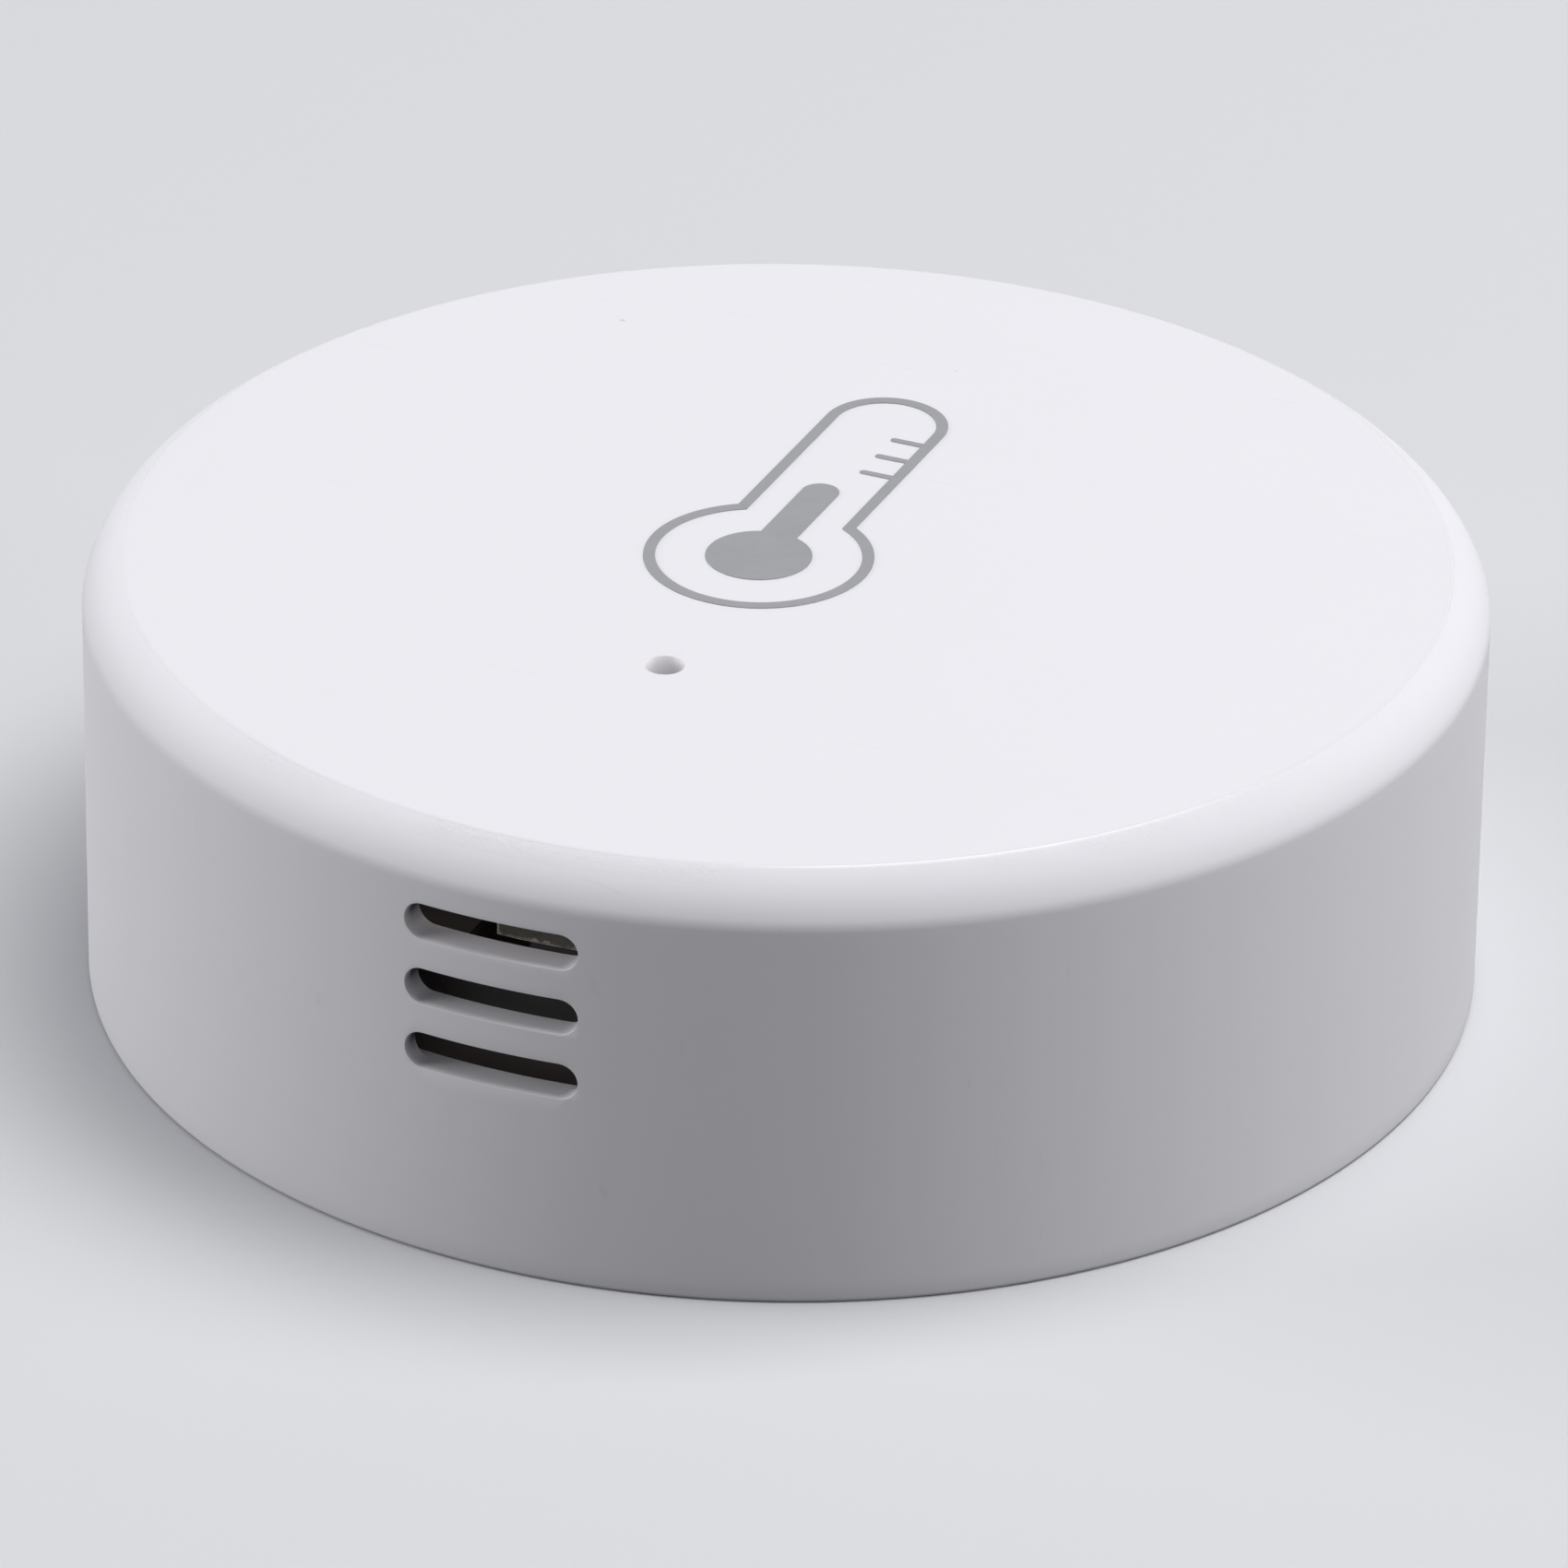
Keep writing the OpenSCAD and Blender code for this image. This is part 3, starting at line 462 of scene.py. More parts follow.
def moulded_abs(name, code, roughness, grain_pitch, grain_height, scuff_share, sheen_ring=None,
                painted_glow=0.0, painted_glow_above=None, painted_shade_from=None):
    """ABS from a spark-eroded mould: satin, with a fine grain, rare dust and faint scuffs. The
    real grain of 0.03 to 0.06 mm and hair scuffs of 0.02 mm are drawn coarser, so that they show.
    Where the mould's edge round was cut, at the radius of sheen_ring, a polished line and patches
    of tool marks show. A painted glow, an emission as strong as the glow argument gives, stands in
    for the daylight that soaks through a thin pale wall, and fades out down to the height that the
    next argument gives. Painted shade darkens the upright sides of a slot, deeper in than the radius
    that the last argument gives."""
    made, tree = new_material(name)
    place = add(tree, "ShaderNodeTexCoord").outputs["Object"]
    grain = add(tree, "ShaderNodeTexNoise", {
        "Vector": place, "Scale": 1 / grain_pitch, "Detail": 2.0, "Roughness": 0.6})
    cloud = add(tree, "ShaderNodeTexNoise", {"Vector": place, "Scale": 1 / (6 * MM), "Detail": 3.0})
    fleck = add(tree, "ShaderNodeTexVoronoi", {"Vector": place, "Scale": 1 / (2.6 * MM)})
    near_fleck = add(tree, "ShaderNodeMapRange", {
        "Value": fleck.outputs["Distance"], "From Min": 0.05, "From Max": 0.025})
    chance = add(tree, "ShaderNodeSeparateColor", {0: fleck.outputs["Color"]})
    rare = add(tree, "ShaderNodeMath", {0: chance.outputs[0], 1: 0.9}, operation="GREATER_THAN")
    dust = add(tree, "ShaderNodeMath", {
        0: near_fleck.outputs[0], 1: rare.outputs[0]}, operation="MULTIPLY")
    drawn_out = add(tree, "ShaderNodeMapping", {
        "Vector": place, "Rotation": (0.0, 0.0, 0.6),
        "Scale": (1 / (5 * MM), 1 / (0.12 * MM), 1 / (1.2 * MM))})
    hair = add(tree, "ShaderNodeTexNoise", {
        "Vector": drawn_out.outputs[0], "Scale": 1.0, "Detail": 1.0})
    scuff = add(tree, "ShaderNodeMapRange", {
        "Value": hair.outputs[0], "From Min": 0.73, "From Max": 0.8, "To Max": scuff_share})
    tone = add(tree, "ShaderNodeMix", {
        "Factor": cloud.outputs[0], "A": linear(code), "B": shade(code, 0.985)}, data_type="RGBA")
    marked = add(tree, "ShaderNodeMath", {0: dust.outputs[0], 1: scuff.outputs[0]}, operation="MAXIMUM")
    colour = add(tree, "ShaderNodeMix", {
        "Factor": marked.outputs[0], "A": tone.outputs["Result"],
        "B": shade(code, 0.62)}, data_type="RGBA")
    tint = colour.outputs["Result"]
    height = grain.outputs[0]
    sheen = add(tree, "ShaderNodeMapRange", {
        "Value": cloud.outputs[0], "To Min": roughness - 0.03, "To Max": roughness + 0.03}).outputs[0]
    flat = add(tree, "ShaderNodeVectorMath", {0: place, 1: (1.0, 1.0, 0.0)}, operation="MULTIPLY")
    out = add(tree, "ShaderNodeVectorMath", {0: flat.outputs[0]}, operation="LENGTH").outputs["Value"]
    if sheen_ring:
        past = add(tree, "ShaderNodeMath", {0: out, 1: sheen_ring}, operation="SUBTRACT").outputs[0]
        beside = add(tree, "ShaderNodeMath", {0: past}, operation="ABSOLUTE")
        polish = add(tree, "ShaderNodeMapRange", {
            "Value": beside.outputs[0], "From Min": 0.12 * MM, "From Max": 0.05 * MM, "To Max": 0.5})
        sheen = add(tree, "ShaderNodeMath", {
            0: sheen, 1: polish.outputs[0]}, operation="SUBTRACT").outputs[0]
        band = add(tree, "ShaderNodeMapRange", {
            "Value": past, "From Min": 0.55 * MM, "From Max": 0.2 * MM})
        outside = add(tree, "ShaderNodeMath", {0: past, 1: 0.06 * MM}, operation="GREATER_THAN")
        chatter = add(tree, "ShaderNodeTexNoise", {
            "Vector": place, "Scale": 1 / (0.24 * MM), "Detail": 4.0, "Roughness": 0.7})
        patch = add(tree, "ShaderNodeMapRange", {
            "Value": cloud.outputs[0], "From Min": 0.4, "From Max": 0.55, "To Max": 30.0})
        marks = add(tree, "ShaderNodeMath", {
            0: band.outputs[0], 1: outside.outputs[0]}, operation="MULTIPLY")
        depth = add(tree, "ShaderNodeMath", {
            0: marks.outputs[0], 1: patch.outputs[0]}, operation="MULTIPLY")
        height = add(tree, "ShaderNodeMath", {
            0: chatter.outputs[0], 1: depth.outputs[0],
            2: grain.outputs[0]}, operation="MULTIPLY_ADD").outputs[0]
    # Painted shade: the upright sides of a slot darken towards dark grey deeper in, where shade falls.
    if painted_shade_from:
        deep = add(tree, "ShaderNodeMapRange", {
            "Value": out, "From Min": painted_shade_from, "From Max": painted_shade_from - 0.42 * MM, "To Max": 0.95})
        facing = add(tree, "ShaderNodeTexCoord").outputs["Normal"]
        level = add(tree, "ShaderNodeSeparateXYZ", {0: facing}).outputs["Z"]
        upright = add(tree, "ShaderNodeMapRange", {"Value": level, "From Min": 0.8, "From Max": 0.0})
        painted_shade = add(tree, "ShaderNodeMath", {
            0: deep.outputs[0], 1: upright.outputs[0]}, operation="MULTIPLY")
        tint = add(tree, "ShaderNodeMix", {
            "Factor": painted_shade.outputs[0], "A": tint,
            "B": linear("#403d3b")}, data_type="RGBA").outputs["Result"]
    bump = add(tree, "ShaderNodeBump", {"Height": height, "Distance": grain_height})
    # Painted glow: the emission makes the surface glow, standing in for daylight soaking through the
    # pale wall.
    skin = add(tree, "ShaderNodeBsdfPrincipled", {
        "Base Color": tint, "Roughness": sheen, "IOR": 1.53, "Emission Color": linear("#fff4ec"),
        "Emission Strength": painted_glow, "Normal": bump.outputs[0]})
    # The painted glow fades from the top of the pin hole's wall towards its bottom.
    if painted_glow_above:
        rise = add(tree, "ShaderNodeSeparateXYZ", {0: place}).outputs["Z"]
        lit = add(tree, "ShaderNodeMapRange", {
            "Value": rise, "From Min": painted_glow_above, "From Max": shell_h})
        glow = add(tree, "ShaderNodeMix", {
            "Factor": lit.outputs[0], "A": linear("#000000"), "B": linear("#fff4ec")}, data_type="RGBA")
        tree.links.new(glow.outputs["Result"], skin.inputs["Emission Color"])
    add(tree, "ShaderNodeOutputMaterial", {"Surface": skin.outputs[0]})
    return made


moulding = ("#ebeaef", 0.74, 0.16 * MM, 0.0012 * MM)
white_abs = moulded_abs("white_abs_satin", *moulding, 0.09, crease_r)
# Painted glow on the shell's inside faces.
white_abs_inside_painted_glow = moulded_abs("white_abs_inside_painted_glow", *moulding, 0.0, painted_glow=0.13)
# Painted glow on the pin hole's wall, lighter at the top and fading downwards.
hole_wall_painted_glow = moulded_abs("white_abs_hole_wall_painted_glow", *moulding, 0.0, painted_glow=0.17,
                             painted_glow_above=shell_h - 0.6 * MM)
# Painted shade on the sides of the slots, darker deeper in.
slot_sides_painted_shade = moulded_abs("white_abs_slot_sides_painted_shade", *moulding, 0.0,
                             painted_shade_from=shell_r - 0.03 * MM)
# Each face gets the outside finish, the inside's painted glow, the pin hole wall's painted glow or the
# slot sides' painted shade.
for face in top_shell.data.polygons:
    spot = face.center
    depth = shell_r - spot.to_2d().length
    front = spot.y < -tray_r
    inside = spot.z < roof_z + near and spot.to_2d().length < shell_r - slot_wall_t + near
    by_slots = front and abs(spot.x) < slot_w and relief_low - near < spot.z < board_low.z + near
    in_slot = (front and abs(spot.x) < slot_w / 2 + near and near < depth < slot_wall_t - near
               and relief_low - near < spot.z < slot_zs[0] + slot_h / 2 + near)
    in_hole = (roof_z + near < spot.z < shell_h - near
               and (spot.to_2d() - Vector(pin_hole)).length < pin_hole_r + near)
    face.material_index = 2 if in_hole else 3 if in_slot else 1 if inside and not by_slots else 0
finished(top_shell, white_abs, white_abs_inside_painted_glow, hole_wall_painted_glow, slot_sides_painted_shade)
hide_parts("top_shell")
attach(top_shell, "housing")


# The thermometer mark: matt grey ink pad-printed on the roof, a bulb and a tube in outline
# with a filled bulb and stem inside. Its three ticks hang on the inside of the right line.
mark_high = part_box("thermometer_mark")[1]
mark_spot = (-0.55 * MM, -0.75 * MM, 0.0)
mark_lean = math.radians(0.3)
mark_place = Matrix.Translation(mark_spot) @ Matrix.Rotation(mark_lean, 4, "Z")
bulb_r = 3.28 * MM
fill_r = 1.52 * MM
line_w = 0.34 * MM
tube_half = 1.825 * MM
tube_len = 11 * MM
stem_half = 0.55 * MM
stem_len = 4.95 * MM
tick_len = 1.15 * MM
tick_w = 0.22 * MM
tick_pitch = 1.14 * MM
tick_mid = 7.26 * MM


def bulb_and_tube(round_r, half, end_y):
    """The outline of a bulb and of the round-ended tube that stands on it."""
    mouth = math.degrees(math.asin(half / round_r))
    points = arc((0, 0), round_r, 90 + mouth, 450 - mouth, 120)
    return points + arc((0, end_y), half, 0, 180, 40)


def inked(outline):
    """A printed shape as thick as the ink."""
    return prism("ink", outline, shell_h, mark_high.z, mark_place)


def oblong(low, high):
    """A rectangle from its low and high corners."""
    return [low, (high[0], low[1]), high, (low[0], high[1])]


tube_end = tube_len - tube_half
mark = inked(bulb_and_tube(bulb_r, tube_half, tube_end))
inner = prism("ink", bulb_and_tube(bulb_r - line_w, tube_half - line_w, tube_end),
              shell_h - cut, shell_h + cut, mark_place)
carved(mark, [inner])
ticks = []
tick_root_x = tube_half - line_w / 2
for i in range(3):
    tick_y = tick_mid + (i - 1) * tick_pitch
    tick_end = arc((tick_root_x - tick_len + tick_w / 2, tick_y), tick_w / 2, 90, 270, 8)
    ticks.append(inked(tick_end + [(tick_root_x, tick_y - tick_w / 2),
                                   (tick_root_x, tick_y + tick_w / 2)]))
carved(mark, ticks, "UNION")
fill = inked(bulb_and_tube(fill_r, stem_half, stem_len - stem_half))


def joined(name, *groups):
    """One mesh from groups of pieces, which are used up. A group's faces get the group's number."""
    work = bmesh.new()
    for number, pieces in enumerate(groups):
        for piece in pieces:
            first = len(work.faces)
            work.from_mesh(piece.data)
            work.faces.ensure_lookup_table()
            for face in work.faces[first:]:
                face.material_index = number
            bpy.data.objects.remove(piece)
    mesh = bpy.data.meshes.new(name)
    work.to_mesh(mesh)
    work.free()
    return linked(name, mesh)


mark = shaded(joined("printed_thermometer", [mark, fill]))


def printed_ink(name, code):
    """Pad-printed ink: matt, a little thinner in places, over the grain of what carries it."""
    made, tree = new_material(name)
    place = add(tree, "ShaderNodeTexCoord").outputs["Object"]
    thin = add(tree, "ShaderNodeTexNoise", {
        "Vector": place, "Scale": 1 / (0.9 * MM), "Detail": 4.0, "Roughness": 0.65})
    spread = add(tree, "ShaderNodeMapRange", {
        "Value": thin.outputs[0], "From Min": 0.35, "From Max": 0.65})
    colour = add(tree, "ShaderNodeMix", {
        "Factor": spread.outputs[0], "A": linear(code), "B": shade(code, 1.06)}, data_type="RGBA")
    grain = add(tree, "ShaderNodeTexNoise", {"Vector": place, "Scale": 1 / (0.14 * MM), "Detail": 2.0})
    bump = add(tree, "ShaderNodeBump", {"Height": grain.outputs[0], "Distance": 0.0015 * MM})
    skin = add(tree, "ShaderNodeBsdfPrincipled", {
        "Base Color": colour.outputs["Result"], "Roughness": 0.55, "IOR": 1.48,
        "Normal": bump.outputs[0]})
    add(tree, "ShaderNodeOutputMaterial", {"Surface": skin.outputs[0]})
    return made


finished(mark, printed_ink("grey_pad_printing_ink", "#97989c"))
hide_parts("thermometer_mark")
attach(mark, "housing")


# The circuit board: glass cloth in epoxy, milled to a disc with a tongue for the humidity
# sensor, under glossy black solder mask. Gold-flashed copper shows at the pads, and the
# tracks stand up a little under the mask.
board_r = inner_top_r - 1.15 * MM
board_break = 0.03 * MM
board_hole_r = 0.9 * MM
tongue_left = 0.72 * MM
tongue_right = 3.4 * MM
tongue_len = 3.0 * MM
tongue_top_y = tongue_len - board_r
left_gap = 3.2 * MM
right_gap = 1.0 * MM
mill_left = tongue_left + left_gap
mill_right = tongue_right + right_gap
mill_r = 0.4 * MM
track_w = 0.24 * MM
track_h = 0.03 * MM
pad_h = 0.035 * MM
pad_out = 0.28 * MM


def rounded(low, high, radius, steps=5):
    """A rectangle with round corners, from its low and high corners."""
    points = []
    for x, y, start in ((high[0], low[1], -90), (high[0], high[1], 0),
                        (low[0], high[1], 90), (low[0], low[1], 180)):
        inwards_x = math.copysign(radius, x - low[0] - near)
        inwards_y = math.copysign(radius, y - low[1] - near)
        points += arc((x - inwards_x, y - inwards_y), radius, start, start + 90, steps)
    return points


def line_outline(points, width):
    """The outline of a line of even width through the points, with mitred corners."""
    sides = []
    for i, point in enumerate(points):
        here = Vector(point)
        steps = [here - Vector(points[i - 1])] if i else []
        steps += [Vector(points[i + 1]) - here] if i + 1 < len(points) else []
        steps = [step.normalized() for step in steps]
        onward = sum(steps, Vector((0, 0))).normalized()
        sides.append(Vector((-onward.y, onward.x)) * width / 2 / onward.dot(steps[0]))
    left = [tuple(Vector(p) + s) for p, s in zip(points, sides)]
    right = [tuple(Vector(p) - s) for p, s in zip(points, sides)]
    return right + left[::-1]


board = turned("board", [(0.0, board_low.z), (board_r - board_break, board_low.z),
                         (board_r, board_low.z + board_break), (board_r, board_high.z - board_break),
                         (board_r - board_break, board_high.z), (0.0, board_high.z)], 256)
board_cut_z = (board_low.z - cut, board_high.z + cut)
far_y = -board_r - 2 * cut
board_tools = [prism("mill", rounded((-mill_left, far_y), (-tongue_left, tongue_top_y), mill_r),
                     *board_cut_z),
               prism("mill", rounded((tongue_right, far_y), (mill_right, tongue_top_y), mill_r),
                     *board_cut_z)]
board_tools += [prism("drill", circle((0, 0), board_hole_r), *board_cut_z, place)
                for place in screw_places]
spring_tab_y = 6.4 * MM
tab_half = 0.75 * MM
tab_thick_half = 0.25 * MM
side_tab_turn = math.radians(150)
side_tab_r = 12.35 * MM
side_tab_place = Matrix.Rotation(side_tab_turn, 4, "Z") @ Matrix.Translation((side_tab_r, 0, 0))
board_tools.append(prism("mill", rounded((-tab_half, spring_tab_y - tab_thick_half),
                                         (tab_half, spring_tab_y + tab_thick_half), 0.2 * MM),
                         *board_cut_z))
board_tools.append(prism("mill", rounded((-tab_thick_half, -tab_half), (tab_thick_half, tab_half),
                                         0.2 * MM), *board_cut_z, side_tab_place))
carved(board, board_tools)

node_boxes = {name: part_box(name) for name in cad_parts}


def pad(x_low, y_low, x_high, y_high, under=False):
    """A gold pad on the board's top, or on its underside."""
    low = board_low.z - pad_h if under else board_high.z
    return prism("pad", oblong((x_low, y_low), (x_high, y_high)), low, low + pad_h)


def pads_at_ends(name, along_y=False, inside=0.3 * MM, under=False):
    """A pad that reaches out from under each end of a soldered part."""
    low, high = node_boxes[name]
    if along_y:
        return [pad(low.x, low.y - pad_out, high.x, low.y + inside, under),
                pad(low.x, high.y - inside, high.x, high.y + pad_out, under)]
    return [pad(low.x - pad_out, low.y, low.x + inside, high.y, under),
            pad(high.x - inside, low.y, high.x + pad_out, high.y, under)]


def pads_at_corners(name, size):
    """Four pads that reach out from under a crystal's corners."""
    low, high = node_boxes[name]
    return [pad(x - size / 2, y - size / 2, x + size / 2, y + size / 2)
            for x in (low.x + size / 4, high.x - size / 4)
            for y in (low.y + size / 4, high.y - size / 4)]


pads = pads_at_ends("chip_antenna") + pads_at_ends("clock_crystal")
pads += pads_at_ends("status_lamp", along_y=True) + pads_at_corners("radio_crystal", 1.1 * MM)
pads += pads_at_ends("reservoir_capacitor", under=True)

radio_low, radio_high = node_boxes["radio_chip"]
radio_mid = (radio_low + radio_high) / 2
side_leads = 8
lead_pitch = 0.5 * MM
lead_half = 0.13 * MM
lead_offsets = [(i - (side_leads - 1) / 2) * lead_pitch for i in range(side_leads)]
for offset in lead_offsets:
    for side in (-1, 1):
        edge_x = radio_mid.x + side * (radio_high.x - radio_mid.x)
        edge_y = radio_mid.y + side * (radio_high.y - radio_mid.y)
        pads.append(pad(min(edge_x, edge_x + side * pad_out), radio_mid.y + offset - lead_half,
                        max(edge_x, edge_x + side * pad_out), radio_mid.y + offset + lead_half))
        pads.append(pad(radio_mid.x + offset - lead_half, min(edge_y, edge_y + side * pad_out),
                        radio_mid.x + offset + lead_half, max(edge_y, edge_y + side * pad_out)))

chip_l = 1.0 * MM
chip_w = 0.5 * MM
chip_pitch = 1.1 * MM
capacitor_shares = ((0.42, -0.14), (-0.5, 0.42), (0.28, 0.56))
resistor_shares = ((0.5, -0.34), (-0.3, -0.44))


def chip_places(shares):
    """The middle of each chip's foot, three side by side from each place on the board."""
    return [(x * board_r + i * chip_pitch, y * board_r, board_high.z)
            for x, y in shares for i in range(3)]


pad_tuck = 0.1 * MM
for x, y, z in chip_places(capacitor_shares + resistor_shares):
    for side in (-1, 1):
        pad_y = y + side * (chip_l / 2 + pad_out / 2 - pad_tuck)
        pads.append(pad(x - chip_w / 2, pad_y - pad_out, x + chip_w / 2, pad_y + pad_out))

land_in = board_hole_r + 0.1 * MM
land_out = board_hole_r + 0.65 * MM
screw_land = [(land_in, 0.0), (land_out, 0.0), (land_out, pad_h), (land_in, pad_h)]
under_board = Matrix.Translation((0, 0, board_low.z - pad_h))
pads += [turned("land", screw_land, 48, place=under_board @ place) for place in screw_places]
tab_land = circle((0, 0), 1.0 * MM, 24)
for place in (Matrix.Translation((0, spring_tab_y, 0)), side_tab_place):
    land = prism("land", tab_land, board_high.z, board_high.z + pad_h, place)
    hole = prism("hole", oblong((-tab_half, -tab_half), (tab_half, tab_half)), *board_cut_z, place)
    pads.append(carved(land, [hole]))

# Each track's corners, in millimetres from the board's middle: aerial feed, both crystals, switch,
# lamp, resistors, capacitors, the sensor's four lines and the supply from the side contact.
routes = (
    [(2.33, 6.7), (2.33, 9.0), (-0.5, 11.83), (-0.5, 13.9)],
    [(4.08, 6.7), (4.08, 8.3), (5.01, 9.23), (5.01, 9.5)],
    [(0.85, 4.19), (-1.7, 4.19), (-2.3, 4.5)],
    [(0.85, 3.69), (-0.9, 3.69), (-1.8, 2.79), (-2.4, 2.79)],
    [(0.85, 3.19), (-0.6, 3.19), (-1.9, 1.89), (-1.9, -0.5), (-2.4, -1.0)],
    [(0.85, 2.69), (-0.3, 2.69), (-1.3, 1.69), (-1.3, -2.0), (-2.0, -2.7), (-5.6, -2.7),
     (-6.2, -2.1), (-6.2, -1.5)],
    [(1.83, 1.2), (1.83, -4.8), (0.9, -5.73), (0.9, -6.7)],
    [(2.33, 1.2), (2.33, -5.2), (2.33, -8.3), (1.4, -8.3)],
    [(0.85, 2.19), (-0.1, 2.19), (-0.7, 1.59), (-0.7, -3.6), (-2.5, -5.4), (-2.5, -6.9)],
    [(3.33, 1.2), (3.33, -2.6), (6.0, -5.27), (8.6, -5.27), (8.95, -5.5)],
    [(4.33, 1.2), (4.33, 0.5), (6.7, -1.87), (7.52, -1.87)],
    [(6.3, 3.19), (8.2, 3.19), (11.2, 0.19), (11.2, -3.4), (9.72, -3.4)],
    [(5.33, 6.7), (5.33, 7.6), (7.2, 9.47)],
    [(-9.9, 5.5), (-9.0, 5.5), (-8.2, 6.3), (-8.2, 6.7)],
    [(-11.0, 5.0), (-11.0, -3.0), (-5.37, -8.63)],
)
routes += tuple([(2.83 + 0.4 * i, -5.5 - 0.6 * i), (2.83 + 0.4 * i, -12.2 - 0.166 * i),
                 (0.6 + 0.4 * i, -14.43 - 0.166 * i), (0.6 + 0.4 * i, -17.0)] for i in range(4))
wide_routes = (0, 13, 14)
tracks = [prism("track", line_outline([(x * MM, y * MM) for x, y in route],
                                      2 * track_w if i in wide_routes else track_w),
                board_high.z, board_high.z + track_h) for i, route in enumerate(routes)]


def recipe(name, inputs):
    """A Geometry Nodes tree with named inputs for its places, sizes and finishes."""
    tree = bpy.data.node_groups.new(name, "GeometryNodeTree")
    tree.interface.new_socket("Geometry", in_out="OUTPUT", socket_type="NodeSocketGeometry")
    tree.interface.new_socket("Places", in_out="INPUT", socket_type="NodeSocketGeometry")
    for title, kind in inputs.items():
        tree.interface.new_socket(title, in_out="INPUT", socket_type="NodeSocket" + kind)
    return tree, add(tree, "NodeGroupInput").outputs


def grown(name, tree, places, values):
    """What a tree makes at each of the places, as a plain mesh."""
    points = bpy.data.meshes.new(name)
    points.from_pydata(places, [], [])
    piece = linked(name, points)
    step = piece.modifiers.new("grow", "NODES")
    step.node_group = tree
    sockets = {item.name: item.identifier for item in tree.interface.items_tree
               if item.in_out == "INPUT"}
    for title, value in values.items():
        step[sockets[title]] = value
    made_plain(piece)
    return piece


def planted(tree, given, shape, finish, facing=None):
    """A shape set at each of a tree's places, made real and given its finish."""
    links = {"Points": given["Places"], "Instance": shape}
    if facing:
        links["Rotation"] = facing
    copies = add(tree, "GeometryNodeInstanceOnPoints", links)
    solid = add(tree, "GeometryNodeRealizeInstances", {0: copies.outputs[0]})
    coated = add(tree, "GeometryNodeSetMaterial", {0: solid.outputs[0], "Material": given[finish]})
    return coated.outputs[0]


def solder_mask(name, code):
    """Black solder mask: a glossy lacquer with orange peel, over glass cloth whose yarns lie
    0.45 mm apart and show through."""
    made, tree = new_material(name)
    place = add(tree, "ShaderNodeTexCoord").outputs["Object"]
    cloth = [add(tree, "ShaderNodeTexWave", {
        "Vector": place, "Scale": 1 / (10 * 0.45 * MM) * 2, "Distortion": 1.2,
        "Detail": 1.0}, bands_direction=way).outputs["Fac"] for way in ("X", "Y")]
    weave = add(tree, "ShaderNodeMath", {0: cloth[0], 1: cloth[1]}, operation="MULTIPLY")
    peel = add(tree, "ShaderNodeTexNoise", {"Vector": place, "Scale": 1 / (0.5 * MM), "Detail": 3.0})
    height = add(tree, "ShaderNodeMath", {
        0: weave.outputs[0], 1: 0.35, 2: peel.outputs[0]}, operation="MULTIPLY_ADD")
    bump = add(tree, "ShaderNodeBump", {"Height": height.outputs[0], "Distance": 0.004 * MM})
    tone = add(tree, "ShaderNodeMix", {
        "Factor": weave.outputs[0], "A": linear(code), "B": shade(code, 1.5)}, data_type="RGBA")
    skin = add(tree, "ShaderNodeBsdfPrincipled", {
        "Base Color": tone.outputs["Result"], "Roughness": 0.24, "IOR": 1.52,
        "Normal": bump.outputs[0]})
    add(tree, "ShaderNodeOutputMaterial", {"Surface": skin.outputs[0]})
    return made


